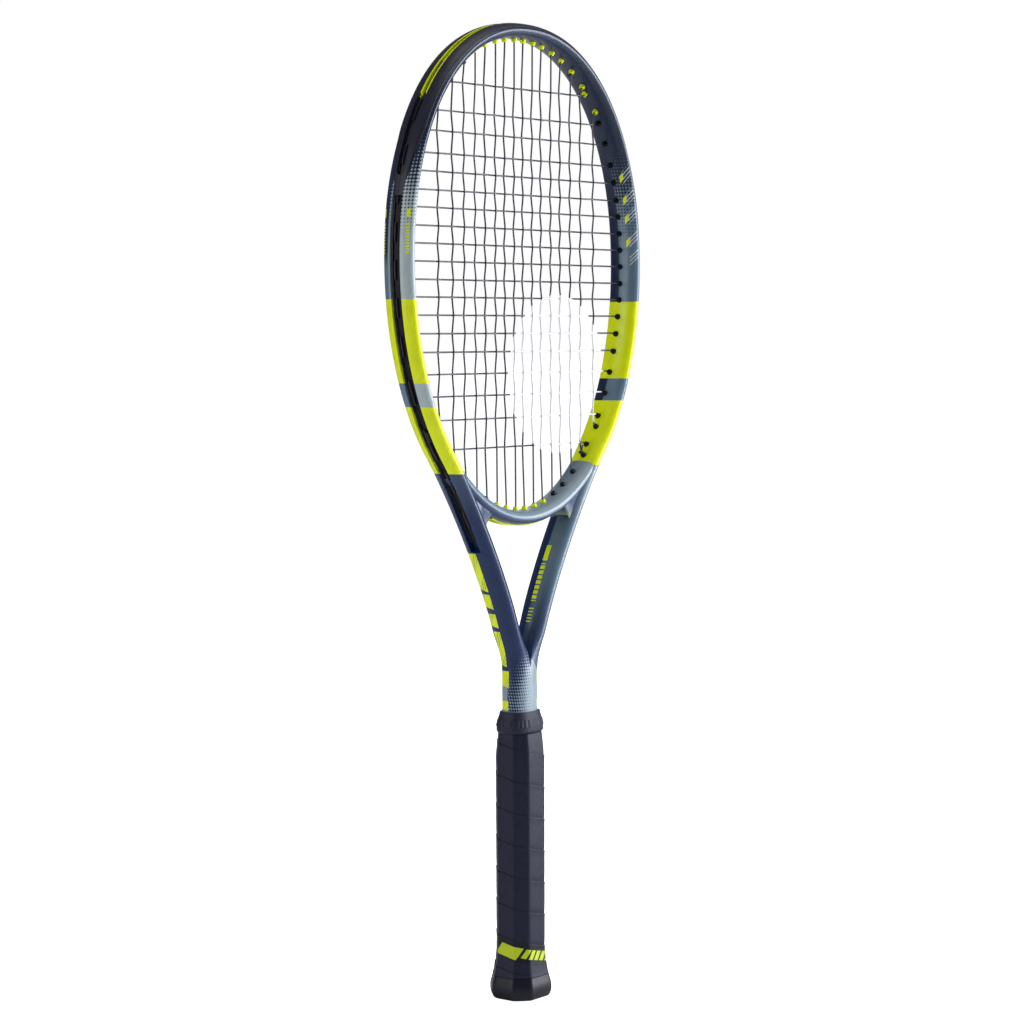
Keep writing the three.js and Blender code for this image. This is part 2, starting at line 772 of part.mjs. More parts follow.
function shaftRing(low, high, inner, outer) {
  const outside = rounded([[low, ...SHAFT.half], [high, ...SHAFT.half]], SHAFT.power, outer);
  const inside = rounded([[low - 1, ...SHAFT.half], [high + 1, ...SHAFT.half]], SHAFT.power, inner);
  return outside.subtract(inside);
}

piece(
  "finishing_tape",
  shaftRing(TAPE.low, TAPE.high, CLEARANCE, CLEARANCE + TAPE.wall),
  COLOURS.tape,
  0.7,
);

// The collar's bore steps in above the tape, so that its lip hugs the shaft.
function gripCollar() {
  const overTape = 2 * CLEARANCE + TAPE.wall;
  const step = TAPE.high + 0.4;
  const bore = rounded(
    [
      [COLLAR_PROFILE[0][0] - 1, SHAFT.half[0] + overTape, SHAFT.half[1] + overTape],
      [step, SHAFT.half[0] + overTape, SHAFT.half[1] + overTape],
      [step + 1, SHAFT.half[0] + CLEARANCE, SHAFT.half[1] + CLEARANCE],
      [COLLAR_PROFILE.at(-1)[0] + 1, SHAFT.half[0] + CLEARANCE, SHAFT.half[1] + CLEARANCE],
    ],
    SHAFT.power,
  );
  return rounded(COLLAR_PROFILE, COLLAR_POWER).subtract(bore);
}

piece("grip_collar", gripCollar(), COLOURS.rubber, 0.7);

export default racket;
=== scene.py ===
"""Looks of the strung tennis racket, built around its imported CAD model.

Shapes are worked out in millimetres, as in the CAD source, and turned into metres where a mesh is made.
X runs across the head, Y through its thickness (the front is -Y) and Z up from the butt to the crown.
"""
import math
from types import SimpleNamespace

import bpy
import bmesh
import numpy as np
from mathutils import Matrix, Vector


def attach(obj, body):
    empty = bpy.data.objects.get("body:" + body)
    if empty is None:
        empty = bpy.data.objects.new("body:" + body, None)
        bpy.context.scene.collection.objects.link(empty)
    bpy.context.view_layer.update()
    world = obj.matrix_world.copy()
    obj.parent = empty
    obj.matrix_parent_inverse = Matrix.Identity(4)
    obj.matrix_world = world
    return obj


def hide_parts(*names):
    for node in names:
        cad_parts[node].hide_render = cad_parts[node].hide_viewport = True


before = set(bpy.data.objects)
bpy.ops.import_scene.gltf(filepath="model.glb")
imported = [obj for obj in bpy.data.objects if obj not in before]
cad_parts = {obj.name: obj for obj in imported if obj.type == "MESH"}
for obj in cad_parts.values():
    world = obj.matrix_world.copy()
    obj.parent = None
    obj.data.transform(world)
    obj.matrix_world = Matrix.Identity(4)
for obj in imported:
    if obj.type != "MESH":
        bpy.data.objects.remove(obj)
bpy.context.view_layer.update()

MM = 0.001

# ---- Driving dimensions, repeated from the CAD source ----

LENGTH = 685
BEAM = {"wide": 10.85, "deep": 24.8, "power": 2.15}
HEAD = {"half_width": 128.3, "centre_z": 519, "down": 178, "up_power": 2.156, "down_power": 2.01}
HEAD["up"] = LENGTH - HEAD["centre_z"] - BEAM["wide"] / 2
ARM = {"leaves_at": math.radians(138), "start_pull": 33.6, "end_pull": 44, "end_x": 6.9, "end_z": 225}
ARM_Z = [225, 245, 270, 340, 400]
ARM_WIDE = [13.4, 13.2, 13, 12, BEAM["wide"]]
ARM_DEEP = [18, 21.2, 22, 23.2, BEAM["deep"]]
GROOVE = {"floor": 1.4, "half_width": 4.3, "end_z": 322}
STRIP = {"low": 1.7, "high": 2.7, "half_width": 4}
BARREL_PROUD = 2.3
STRING_RADIUS = 0.6
STRING_LAYER = 0.8
STRING_LOOP = 3.75
STRING_BEND = 0.7
WEAVE = 0.62
MAIN_X = [4.9, 15.6, 25.8, 37.3, 48.2, 60.3, 72.7, 88.1]
CROSS_Z = [
    640, 620.2, 606.4, 591.3, 579, 566.6, 554.8, 542.6, 530.7, 518.7,
    506.5, 494.7, 482.5, 470.1, 457.5, 442.5, 427.4, 411.3, 391.1,
]
BUMPER = {"recess": 1.675, "half_width": 11, "full_z": 605, "tip_z": 561, "tip_half_width": 4.5}
BUMPER_SLOT = {"half_width": 3.3, "end_z": 574}
LIME_RIDGE_END_Z = 627
BRIDGE = {"deep": 22, "half_angle": math.radians(34)}
BRIDGE_STRIP_ANGLE = math.radians(15.4)
WEB = {"deep": 17, "start_angle": math.radians(30), "end_angle": math.radians(17.5), "end_z": 334}
HEAD_STRIP_END_Z = 626
SHAFT = {"power": 2.3, "half": (14.15, 10.3), "bottom_z": 26}
OCTAGON_CUT = 0.234
HANDLE = (33.5, 30)
GRIP_Z = [16.4, 19, 26, 34, 172, 189]
GRIP_X = [38.8, 37.4, 35.3, HANDLE[0], HANDLE[0], 31.4]
GRIP_Y = [35, 33.7, 31.7, HANDLE[1], HANDLE[1], 26.6]
BUTT_Z = [0, 1.2, 3.5, 8, 11, 14, 16]
BUTT_X = [37, 39.6, 41.6, 42.5, 41.8, 40, 38.9]
BUTT_Y = [33.4, 35.8, 37.5, 38.3, 37.6, 36.1, 35.1]
DOOR_SIZE = (19.6, 15.2)
COLLAR_Z = [188, 189.5, 193, 198, 203]
COLLAR_X = [16.5, 17.3, 17.3, 16.4, 15.3]
COLLAR_Y = [13, 14, 14, 12.9, 11.5]
COLLAR_POWER = 2.6
COLLAR_RISE = 1.3
COLLAR_RIBS = 28
TAPE = {"low": 188, "high": 197, "gap": 0.3, "wall": 0.8}

# Paint, by height.
LIME_BLOCKS = [(437, 493), (375, 421)]
LIME_END_Z = LIME_BLOCKS[-1][0]
# Each mark on an arm: its low and high ends, then its reach across the arm towards the steel half.
ARM_MARKS = [
    (290.7, 318.2, -12, -0.5),
    (278, 288.7, -12, -0.5),
    (264.5, 274.5, -10, -0.5),
    (236.4, 261.6, -7, -0.5),
    (222, 233.3, -9, 1.2),
    (205.5, 212.2, -9, 0.6),
]
RIGHT_MARKS_END_Z = 234
RHOMBUS_Z = [583, 567, 553.5, 536.5]
HATCH_Z = [*RHOMBUS_Z, 523]
STENCIL = {"x": 44, "z": 441, "radius": 57.4, "depth": 3}


# ---- Meshes ----


def add_object(name, data):
    made = bpy.data.objects.new(name, data)
    bpy.context.scene.collection.objects.link(made)
    return made


def piece(name, slot, material, points, faces, uvs=None, body="racket", sharp=35, stands_for=()):
    """A mesh object from points in millimetres, riding on a body. uvs hold one pair for each face corner."""
    mesh = bpy.data.meshes.new(name)
    mesh.from_pydata((np.asarray(points, float).reshape(-1, 3) * MM).tolist(), [], faces)
    if uvs is not None:
        layer = mesh.uv_layers.new(name="Surface")
        layer.data.foreach_set("uv", np.asarray(uvs, np.float32).ravel())
    made = bmesh.new()
    made.from_mesh(mesh)
    bmesh.ops.remove_doubles(made, verts=made.verts, dist=1e-6)
    bmesh.ops.dissolve_degenerate(made, edges=made.edges, dist=1e-6)
    bmesh.ops.recalc_face_normals(made, faces=made.faces)
    made.to_mesh(mesh)
    made.free()
    mesh.shade_smooth()
    mesh.set_sharp_from_angle(angle=math.radians(sharp))
    mesh.materials.append(material)
    made_object = add_object(name, mesh)
    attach(made_object, body)
    if stands_for:
        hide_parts(*stands_for)
    return made_object


class Skin:
    """Faces gathered from several closed shells, with a surface coordinate for each corner."""

    def __init__(self):
        self.points = []
        self.faces = []
        self.uvs = []
        self.count = 0

    def shell(self, rings, along=None, across=None, loop=False, caps=True):
        """A tube through rings of points, [ring, column, xyz]. A looped tube closes on its first ring."""
        rings = np.asarray(rings, float)
        rows, columns = rings.shape[:2]
        if along is None:
            along = run_lengths(rings.mean(axis=1)) * MM
        if across is None:
            across = np.tile(np.linspace(0, 1, columns + 1), (rows, 1))
        base = self.count
        self.points.extend(rings.reshape(-1, 3).tolist())
        self.count += rows * columns
        last = rows if loop else rows - 1
        for r in range(last):
            up = (r + 1) % rows
            for c in range(columns):
                side = (c + 1) % columns
                self.faces.append([
                    base + r * columns + c,
                    base + r * columns + side,
                    base + up * columns + side,
                    base + up * columns + c,
                ])
                self.uvs += [
                    (along[r], across[r][c]),
                    (along[r], across[r][c + 1]),
                    (along[up], across[up][c + 1]),
                    (along[up], across[up][c]),
                ]
        if caps and not loop:
            for r in (0, rows - 1):
                self.faces.append([base + r * columns + c for c in range(columns)])
                self.uvs += [(along[r], across[r][c]) for c in range(columns)]
        return self

    def piece(self, name, slot, material, **settings):
        return piece(name, slot, material, self.points, self.faces, self.uvs, **settings)


def run_lengths(points):
    """The distance to each point from the first, along the path through them all."""
    return np.concatenate([[0], np.cumsum(np.linalg.norm(np.diff(points, axis=0), axis=1))])


def level(outline, z):
    return np.column_stack([outline, np.full(len(outline), z)])


def eased(start, corner, end, t):
    """A point of the short curve from start to end that leans towards a corner."""
    return start * (1 - t) ** 2 + corner * 2 * t * (1 - t) + end * t * t


def circle(centre, radius, side, other, count):
    angles = np.linspace(0, 2 * math.pi, count, endpoint=False)[:, None]
    return centre + radius * (np.cos(angles) * side + np.sin(angles) * other)


def smooth(value, low, high):
    """0 below low, 1 above high, and an easy curve between them."""
    t = np.clip((np.asarray(value, float) - low) / (high - low), 0, 1)
    return t * t * (3 - 2 * t)


def superellipse(half_x, half_y, power, angles):
    c, s = np.cos(angles), np.sin(angles)
    return np.stack([
        np.sign(c) * half_x * np.abs(c) ** (2 / power),
        np.sign(s) * half_y * np.abs(s) ** (2 / power),
    ], axis=-1)


# ---- Centrelines: each gives a centre and an outward normal in the plane of the head ----


def unit(v):
    return v / np.linalg.norm(v)


def oval(angle):
    c = math.cos(angle)
    rise = HEAD["down"] if c < 0 else HEAD["up"]
    power = HEAD["down_power"] if c < 0 else HEAD["up_power"]
    across = abs(math.sin(angle)) ** (2 / power)
    along = abs(c) ** (2 / power)
    side = -1 if c < 0 else 1
    centre = np.array([HEAD["half_width"] * across, HEAD["centre_z"] + side * rise * along])
    normal = unit(np.array([across ** (power - 1) / HEAD["half_width"], side * along ** (power - 1) / rise]))
    return centre, normal


ARM_START, ARM_NORMAL = oval(ARM["leaves_at"])
ARM_CURVE = [
    ARM_START,
    ARM_START + ARM["start_pull"] * np.array([ARM_NORMAL[1], -ARM_NORMAL[0]]),
    np.array([ARM["end_x"], ARM["end_z"] + ARM["end_pull"]]),
    np.array([ARM["end_x"], ARM["end_z"]]),
]


def arm(t):
    a, b, c, d = ARM_CURVE
    centre = a * (1 - t) ** 3 + 3 * b * t * (1 - t) ** 2 + 3 * c * t * t * (1 - t) + d * t ** 3
    tangent = unit((b - a) * (1 - t) ** 2 + 2 * (c - b) * t * (1 - t) + (d - c) * t * t)
    return centre, np.array([-tangent[1], tangent[0]])


def mirrored(at, place):
    """A place found on the right, moved to the left where at is negative."""
    side = np.array([-1 if at < 0 else 1, 1])
    return place[0] * side, place[1] * side


def rail(at):
    """The hairpin: 0 at the crown, 1 where an arm leaves the oval, 2 at its end; minus on the left."""
    q = abs(at)
    return mirrored(at, oval(q * ARM["leaves_at"]) if q <= 1 else arm(q - 1))


def bridge_rail(at):
    """The bridge: the angle is measured from the bottom of the oval, minus on the left."""
    return mirrored(at, oval(math.pi - abs(at)))


def offset(track, at, distance):
    centre, normal = track(at)
    return centre + normal * distance


def solve(rule, low, high):
    """Where a steadily changing function reaches zero."""
    rising = rule(high) > rule(low)
    for _ in range(50):
        middle = (low + high) / 2
        if (rule(middle) > 0) == rising:
            high = middle
        else:
            low = middle
    return (low + high) / 2


def rail_at_height(z):
    return solve(lambda q: rail(q)[0][1] - z, 0.02, 1.95)


def ring(track, at, section):
    """A section, as [along the outward normal, along Y], placed on a track."""
    centre, normal = track(at)
    section = np.asarray(section, float)
    flat = centre + section[:, :1] * normal
    return np.stack([flat[:, 0], section[:, 1], flat[:, 1]], axis=-1)


def in_space(flat, y):
    return np.array([flat[0], y, flat[1]])


def around(section):
    """The length round a section to each of its points, with the closing point added."""
    return run_lengths(np.vstack([section, section[:1]]))


def track_lengths(track, places):
    return run_lengths(np.array([track(at)[0] for at in places])) * MM


# ---- String gates ----

ARM_SIDE = rail(1.3)[1]


def meets_arm(angle):
    return angle > ARM["leaves_at"] and math.pi - angle > BRIDGE_STRIP_ANGLE


def passage_way(angle):
    normal = oval(angle)[1]
    return unit(normal + ARM_SIDE) if meets_arm(angle) else normal


def bend_at(angle):
    entry = offset(oval, angle, -BEAM["wide"] / 2)
    return entry - passage_way(angle) * (BARREL_PROUD + STRING_BEND)


def crossed(a, b):
    """Zero where two directions in the plane of the head are in line."""
    return a[0] * b[1] - a[1] * b[0]


def gate(angle, sign, y):
    """Where a string passes through the wall: its bend inside the head, its mouth and its way out."""
    way = passage_way(angle)
    bend = bend_at(angle)
    slanted = meets_arm(angle)
    on_bridge = not slanted and angle > ARM["leaves_at"]
    track = bridge_rail if on_bridge else rail
    if slanted:
        at = solve(lambda q: crossed(offset(rail, q, STRING_LOOP) - bend, way), 1, 1.8)
    elif on_bridge:
        at = math.pi - angle
    else:
        at = angle / ARM["leaves_at"]
    side = np.array([sign, 1])
    return {
        "y": y,
        "track": track,
        "slanted": slanted,
        "at": sign * at,
        "way": way * side,
        "bend": bend * side,
        "mouth": (bend + way * STRING_BEND) * side,
        "out": offset(track, sign * at, STRING_LOOP),
    }


def main_gate(index, top):
    half = len(MAIN_X)
    x = MAIN_X[half - 1 - index if index < half else index - half]
    low, high = (0.001, math.pi / 2) if top else (math.pi / 2, math.pi - 0.001)
    angle = solve(lambda a: bend_at(a)[0] - x, low, high)
    return gate(angle, -1 if index < half else 1, -STRING_LAYER)


def cross_gate(index, sign):
    angle = solve(lambda a: bend_at(a)[1] - CROSS_Z[index], 0.3, 2.5)
    return gate(angle, sign, STRING_LAYER)


MAIN_GATES = [(main_gate(i, True), main_gate(i, False)) for i in range(2 * len(MAIN_X))]
CROSS_GATES = [(cross_gate(i, -1), cross_gate(i, 1)) for i in range(len(CROSS_Z))]
GATES = [g for pair in MAIN_GATES + CROSS_GATES for g in pair]


# ---- Materials ----


def rgb(red, green, blue):
    """A linear colour from 0-255 display values."""
    def linear(v):
        v /= 255
        return v / 12.92 if v <= 0.04045 else ((v + 0.055) / 1.055) ** 2.4

    return (linear(red), linear(green), linear(blue), 1)


NAVY = rgb(26, 38, 66)
SLATE = rgb(102, 124, 144)
DARK_SLATE = rgb(60, 76, 108)
ARM_NAVY = rgb(20, 44, 88)
STEEL = rgb(140, 156, 168)
PALE = rgb(178, 192, 196)
LIME = rgb(234, 248, 4)
BLACK_PLASTIC = rgb(12, 12, 24)
WHITE_INK = rgb(232, 233, 236)


class Surface:
    """A node material with one Principled shader, put together from small expressions."""

    def __init__(self, name, roughness, **constants):
        self.material = bpy.data.materials.new(name)
        self.material.use_nodes = True
        self.tree = self.material.node_tree
        self.tree.nodes.clear()
        self.shader = self.add("ShaderNodeBsdfPrincipled")
        output = self.add("ShaderNodeOutputMaterial")
        self.tree.links.new(self.shader.outputs[0], output.inputs[0])
        self.shader.inputs["Roughness"].default_value = roughness
        for key, value in constants.items():
            self.shader.inputs[key.replace("_", " ")].default_value = value
        self.normal = None

    def add(self, kind, **settings):
        node = self.tree.nodes.new(kind)
        for key, value in settings.items():
            setattr(node, key, value)
        return node

    def put(self, value, socket):
        if isinstance(value, bpy.types.NodeSocket):
            self.tree.links.new(value, socket)
        else:
            socket.default_value = value

    def math(self, operation, *values):
        node = self.add("ShaderNodeMath", operation=operation)
        for value, socket in zip(values, node.inputs):
            self.put(value, socket)
        return node.outputs[0]

    def chain(self, operation, values):
        total = values[0]
        for value in values[1:]:
            total = self.math(operation, total, value)
        return total

    def sum(self, *values):
        return self.chain("ADD", values)

    def product(self, *values):
        return self.chain("MULTIPLY", values)

    def either(self, *values):
        return self.chain("MAXIMUM", values)

    def line(self, value, slope, start):
        return self.math("MULTIPLY_ADD", value, slope, start)

    def inverse(self, value):
        return self.math("SUBTRACT", 1, value)

    def size(self, value):
        return self.math("ABSOLUTE", value)

    def above(self, value, limit):
        return self.math("GREATER_THAN", value, limit)

    def below(self, value, limit):
        return self.math("LESS_THAN", value, limit)

    def inside(self, value, low, high):
        return self.product(self.above(value, low), self.below(value, high))

    def bands(self, value, ranges):
        """1 where value is inside one of the (low, high) ranges."""
        return self.either(*[self.inside(value, low, high) for low, high in ranges])

    def ramp(self, value, low, high):
        """0 where value is below low, 1 above high; low may be the larger."""
        node = self.add("ShaderNodeMapRange", interpolation_type="SMOOTHSTEP", clamp=True)
        for given, socket in zip((value, low, high), node.inputs):
            self.put(given, socket)
        return node.outputs[0]

    def repeat(self, value, pitch):
        """The place within each pitch, from 0 to 1."""
        return self.math("FRACT", self.math("DIVIDE", value, pitch))

    def stripes(self, value, pitch, share):
        """1 over the first share of each pitch."""
        return self.below(self.repeat(value, pitch), share)

    def mix(self, share, first, second):
        node = self.add("ShaderNodeMix", data_type="RGBA")
        self.put(share, node.inputs[0])
        self.put(first, node.inputs[6])
        self.put(second, node.inputs[7])
        return node.outputs[2]

    def place(self):
        """The object's own X, Y and Z in millimetres."""
        node = self.add("ShaderNodeTexCoord")
        split = self.add("ShaderNodeSeparateXYZ")
        self.tree.links.new(node.outputs["Object"], split.inputs[0])
        return [self.product(s, 1 / MM) for s in split.outputs]

    def surface(self):
        """Length along the piece in millimetres, and the share of the way round its section."""
        node = self.add("ShaderNodeUVMap", uv_map="Surface")
        split = self.add("ShaderNodeSeparateXYZ")
        self.tree.links.new(node.outputs[0], split.inputs[0])
        return self.product(split.outputs[0], 1 / MM), split.outputs[1]

    def noise(self, scale, detail=3, rough=0.5, stretch=(1, 1, 1)):
        """Noise by object place; scale is features per metre."""
        coords = self.add("ShaderNodeTexCoord")
        mapping = self.add("ShaderNodeMapping")
        mapping.inputs["Scale"].default_value = stretch
        node = self.add("ShaderNodeTexNoise")
        node.inputs["Scale"].default_value = scale
        node.inputs["Detail"].default_value = detail
        node.inputs["Roughness"].default_value = rough
        self.tree.links.new(coords.outputs["Object"], mapping.inputs[0])
        self.tree.links.new(mapping.outputs[0], node.inputs["Vector"])
        return node.outputs["Fac"]

    def cells(self, scale, feature="F1"):
        coords = self.add("ShaderNodeTexCoord")
        node = self.add("ShaderNodeTexVoronoi", feature=feature)
        node.inputs["Scale"].default_value = scale
        self.tree.links.new(coords.outputs["Object"], node.inputs["Vector"])
        return node.outputs["Distance"]

    def colour(self, value):
        self.put(value, self.shader.inputs["Base Color"])
        return self

    def roughness(self, low, high, value):
        """Roughness that wanders from low to high with value."""
        node = self.add("ShaderNodeMapRange")
        self.put(value, node.inputs[0])
        node.inputs[3].default_value = low
        node.inputs[4].default_value = high
        self.tree.links.new(node.outputs[0], self.shader.inputs["Roughness"])
        return self

    def bump(self, height, distance, strength=1.0):
        """Relief of this many millimetres."""
        node = self.add("ShaderNodeBump")
        node.inputs["Strength"].default_value = strength
        node.inputs["Distance"].default_value = distance * MM
        self.put(height, node.inputs["Height"])
        if self.normal is not None:
            self.tree.links.new(self.normal, node.inputs["Normal"])
        self.normal = node.outputs[0]
        self.tree.links.new(self.normal, self.shader.inputs["Normal"])
        return self


def halftone(s, along, across, row, column, light):
    """Short dashes in rows that grow from nothing to a solid as light goes from 0 to 1."""
    u = s.math("COSINE", s.product(along, 2 * math.pi / row))
    v = s.math("COSINE", s.product(across, 2 * math.pi / column))
    height = s.line(s.sum(s.product(u, 0.52), s.product(v, 0.48)), 0.5, 0.5)
    edge = s.math("SUBTRACT", s.product(light, 1.25), s.inverse(height))
    return s.ramp(edge, 0, 0.12)


def fine_variation(s, colour, scale=90, amount=0.08):
    """Slight unevenness of a finish."""
    dark = s.ramp(s.noise(scale), 0.3, 0.75)
    return s.mix(s.product(dark, amount), colour, rgb(10, 12, 20))


def clear_coated(name):
    """Paint under a clear coat, with faint orange peel; its colour is still to be given."""
    s = Surface(name, 0.3, Coat_Weight=0.12, Coat_Roughness=0.1, Specular_IOR_Level=0.32)
    s.bump(s.noise(900, 2), 0.012, 0.35)
    s.bump(s.noise(60, 2), 0.05, 0.3)
    s.roughness(0.24, 0.36, s.noise(140))
    return s


def hoop_places(s):
    """The coordinates that the hoop's paint is laid out in."""
    x, y, z = s.place()
    along, share = s.surface()
    # Positive on the steel half of each limb: the left one's front and the right one's back.
    toward_steel = s.product(y, s.math("SIGN", x))
    steel_half = s.ramp(toward_steel, 0.4, 2.4)
    # 0 at the middle of the hoop's inner wall, about 0.29 on its faces and 0.5 at its outer side.
    from_inner = s.size(s.math("SUBTRACT", share, 0.5))
    return SimpleNamespace(
        x=x,
        y=y,
        z=z,
        along=along,
        skin=s.product(share, SKIN_ROUND),
        toward_steel=toward_steel,
        steel_half=steel_half,
        slate_half=s.inverse(steel_half),
        from_inner=from_inner,
        outer=s.ramp(from_inner, 0.34, 0.41),
    )


def limb_colour(s, at):
    """The upper limbs: navy to steel or slate through dots, with fine hairs towards the crown."""
    dots = halftone(s, at.z, at.skin, 2.4, 2.4, s.ramp(at.z, 618, 508))
    off_wall = s.ramp(at.from_inner, 0.21, 0.265)
    steel_side = s.mix(s.product(dots, off_wall), NAVY, PALE)
    slate_face = s.mix(dots, NAVY, SLATE)
    by_lip = s.product(dots, s.ramp(at.from_inner, 0.462, 0.475), s.above(at.z, LIME_BLOCKS[0][0]))
    slate_outer = s.mix(by_lip, s.mix(s.ramp(at.z, 526, 512), NAVY, SLATE), STEEL)
    colour = s.mix(at.steel_half, s.mix(at.outer, slate_face, slate_outer), steel_side)
    hair = s.product(s.stripes(at.along, 1.9, 0.3), s.above(at.z, 560), s.ramp(at.from_inner, 0.02, 0.3))
    return s.mix(s.product(hair, 0.2), colour, SLATE)


def arm_colour(s, at):
    """Below the lime one side falls to navy; the other is steel by the bridge and slate down the arm."""
    steel_arm = s.mix(s.ramp(at.z, LIME_END_Z, 338), DARK_SLATE, ARM_NAVY)
    slate_arm = s.mix(s.ramp(at.z, 366, 332), STEEL, SLATE)
    slate_arm = s.mix(s.ramp(at.z, 310, 250), slate_arm, DARK_SLATE)
    return s.mix(s.either(at.steel_half, at.outer), slate_arm, steel_arm)


def shaft_light(s, at):
    """A light flank on the shaft, its top edge sloping down from the crotch, and dots that grow to it."""
    turned = s.product(at.x, s.math("SIGN", at.y), -1)
    flank = s.product(s.above(turned, -0.5), s.below(at.z, s.line(turned, -1.2, 243)))
    # About the length round the shaft from the middle of its front, less towards the left.
    wound = s.sum(turned, s.size(at.y), -10)
    toward_flank = s.line(s.ramp(wound, -22, 0), 0.4, 0.34)
    fading = s.ramp(s.math("SUBTRACT", at.z, wound), 262, 226)
    light = s.product(toward_flank, fading, s.below(turned, 0.5))
    dots = halftone(s, at.z, s.sum(wound, s.product(at.z, 0.25)), 2.2, 2.4, light)
    return s.either(dots, flank)


def arm_marks(s, at):
    """Broken marks down the outer side of each arm, cut by dark wedges and a ragged hatch."""
    wedge = s.product(s.sum(at.toward_steel, 1.5), 0.22)
    blocks = s.either(*[
        s.product(
            s.above(at.z, s.math("SUBTRACT", low, wedge)),
            s.below(at.z, high),
            s.inside(at.toward_steel, back, front),
        )
        for low, high, back, front in ARM_MARKS
    ])
    slope = s.sum(at.z, s.product(at.y, 1.5))
    ragged = s.either(s.stripes(slope, 2.7, 0.8), s.stripes(slope, 19, 0.6))
    left_or_low = s.either(s.below(at.x, 0), s.below(at.z, RIGHT_MARKS_END_Z))
    return s.product(blocks, ragged, left_or_low, s.above(at.from_inner, 0.3))


def bars_and_dashes(s, at):
    """Plain bars along the middle of each arm's inner wall, and rows of dashes on the limbs' outer edges."""
    bars = s.either(
        s.inside(at.z, 308.5, 319),
        s.product(s.inside(at.z, 280.5, 306.5), s.stripes(at.z, 3.4, 0.7)),
        s.product(s.inside(at.z, 265, 276), s.stripes(at.z, 2.2, 0.4)),
    )
    bars = s.product(bars, s.inside(at.y, -2, 2), s.below(at.from_inner, 0.1))
    fine_dashes = s.product(s.inside(at.z, 523, 544), s.stripes(at.z, 2.1, 0.58))
    rows = s.either(fine_dashes, s.inside(at.z, 547, 552.5))
    steel_dashes = s.product(at.steel_half, s.inside(at.from_inner, 0.362, 0.415))
    slate_dashes = s.product(at.slate_half, s.below(at.x, 0), s.inside(at.from_inner, 0.35, 0.4))
    return s.either(bars, s.product(rows, s.either(steel_dashes, slate_dashes)))


def rhombi_and_hatch(s, at):
    """Small rhombi beside the strings' holes, and a hatch up the slate face from each."""
    lean = s.sum(at.z, s.product(at.from_inner, -46), 6)
    face = s.product(at.slate_half, s.above(at.z, 500))
    rhombi = s.bands(lean, [(middle - 2.4, middle + 2.4) for middle in RHOMBUS_Z])
    rhombi = s.product(face, s.inside(at.from_inner, 0.1, 0.165), rhombi)
    hatch = s.bands(lean, [(middle - 5, middle + 3) for middle in HATCH_Z])
    hatch = s.product(face, s.inside(at.from_inner, 0.15, 0.28), hatch, s.stripes(lean, 2.7, 0.34))
    return rhombi, hatch


def frame_paint():
    """Navy at the crown, growing through dots into steel, with lime blocks and marks.

    The layout is the same after half a turn about Z, but for some marks that only the left side has."""
    s = clear_coated("Frame_paint")
    at = hoop_places(s)
    colour = s.mix(s.above(at.z, LIME_END_Z), arm_colour(s, at), limb_colour(s, at))
    colour = s.mix(shaft_light(s, at), colour, STEEL)
    rhombi, hatch = rhombi_and_hatch(s, at)
    colour = s.mix(s.either(arm_marks(s, at), bars_and_dashes(s, at), rhombi), colour, LIME)
    colour = s.mix(s.product(hatch, 0.75), colour, WHITE_INK)
    colour = s.mix(s.bands(at.z, LIME_BLOCKS), colour, LIME)
    s.colour(fine_variation(s, colour))
    return s.material


def bridge_paint():
    """Light steel, with painted shade on the bridge's underside, and a pale lime hatch on the dark corner
    webs.
    """
    s = clear_coated("Bridge_paint")
    x, y, z = s.place()
    share = s.surface()[1]
    on_web = s.below(share, -0.5)
    from_inner = s.size(s.math("SUBTRACT", share, 0.5))
    # Painted shade: the bridge's underside, which faces down, is darker slate; the corner webs take the same
    # darker slate.
    under = s.product(s.ramp(from_inner, 0.3, 0.35), s.inverse(on_web))
    # Slate at one end and steel at the other, the other way round on the back.
    front = s.math("MAXIMUM", s.math("MINIMUM", s.product(y, -0.15), 1), -1)
    colour = s.mix(s.ramp(s.product(x, front), -55, 45), SLATE, STEEL)
    colour = s.mix(s.either(under, on_web), colour, DARK_SLATE)
    hatch = s.stripes(s.sum(z, s.product(s.size(x), 0.9)), 2.4, 0.55)
    pale_lime = s.mix(0.6, LIME, PALE)
    colour = s.mix(s.product(on_web, hatch, s.ramp(z, 347, 337), 0.55), colour, pale_lime)
    s.colour(fine_variation(s, colour))
    return s.material


# Satin mouldings: colour; specular level; roughness from and to, with its noise scale; stains, as scale and
# strength; grain, as features per metre, height in millimetres and strength.
SATIN = {
    "Lime_nylon": (LIME, 0.2, (0.31, 0.44, 200), (160, 0.06), (2600, 0.02, 0.6)),
    "Black_nylon": (BLACK_PLASTIC, 0.2, (0.35, 0.48, 200), (160, 0.1), (2600, 0.03, 0.6)),
    "Butt_plastic": (rgb(22, 23, 35), 0.26, (0.3, 0.42, 220), (160, 0.2), (2400, 0.025, 0.5)),
    "Collar_rubber": (rgb(38, 40, 60), 0.26, (0.45, 0.6, 240), (200, 0.2), (1800, 0.04, 0.6)),
}


def satin(name):
    """Moulded plastic or rubber with a fine spark-eroded grain."""
    colour, specular, (smoothest, roughest, wander), stains, (grain, height, strength) = SATIN[name]
    s = Surface(name, smoothest, Specular_IOR_Level=specular)
    s.colour(fine_variation(s, colour, *stains))
    s.roughness(smoothest, roughest, s.noise(wander))
    s.bump(s.noise(grain, 3, 0.6), height, strength)
    return s.material


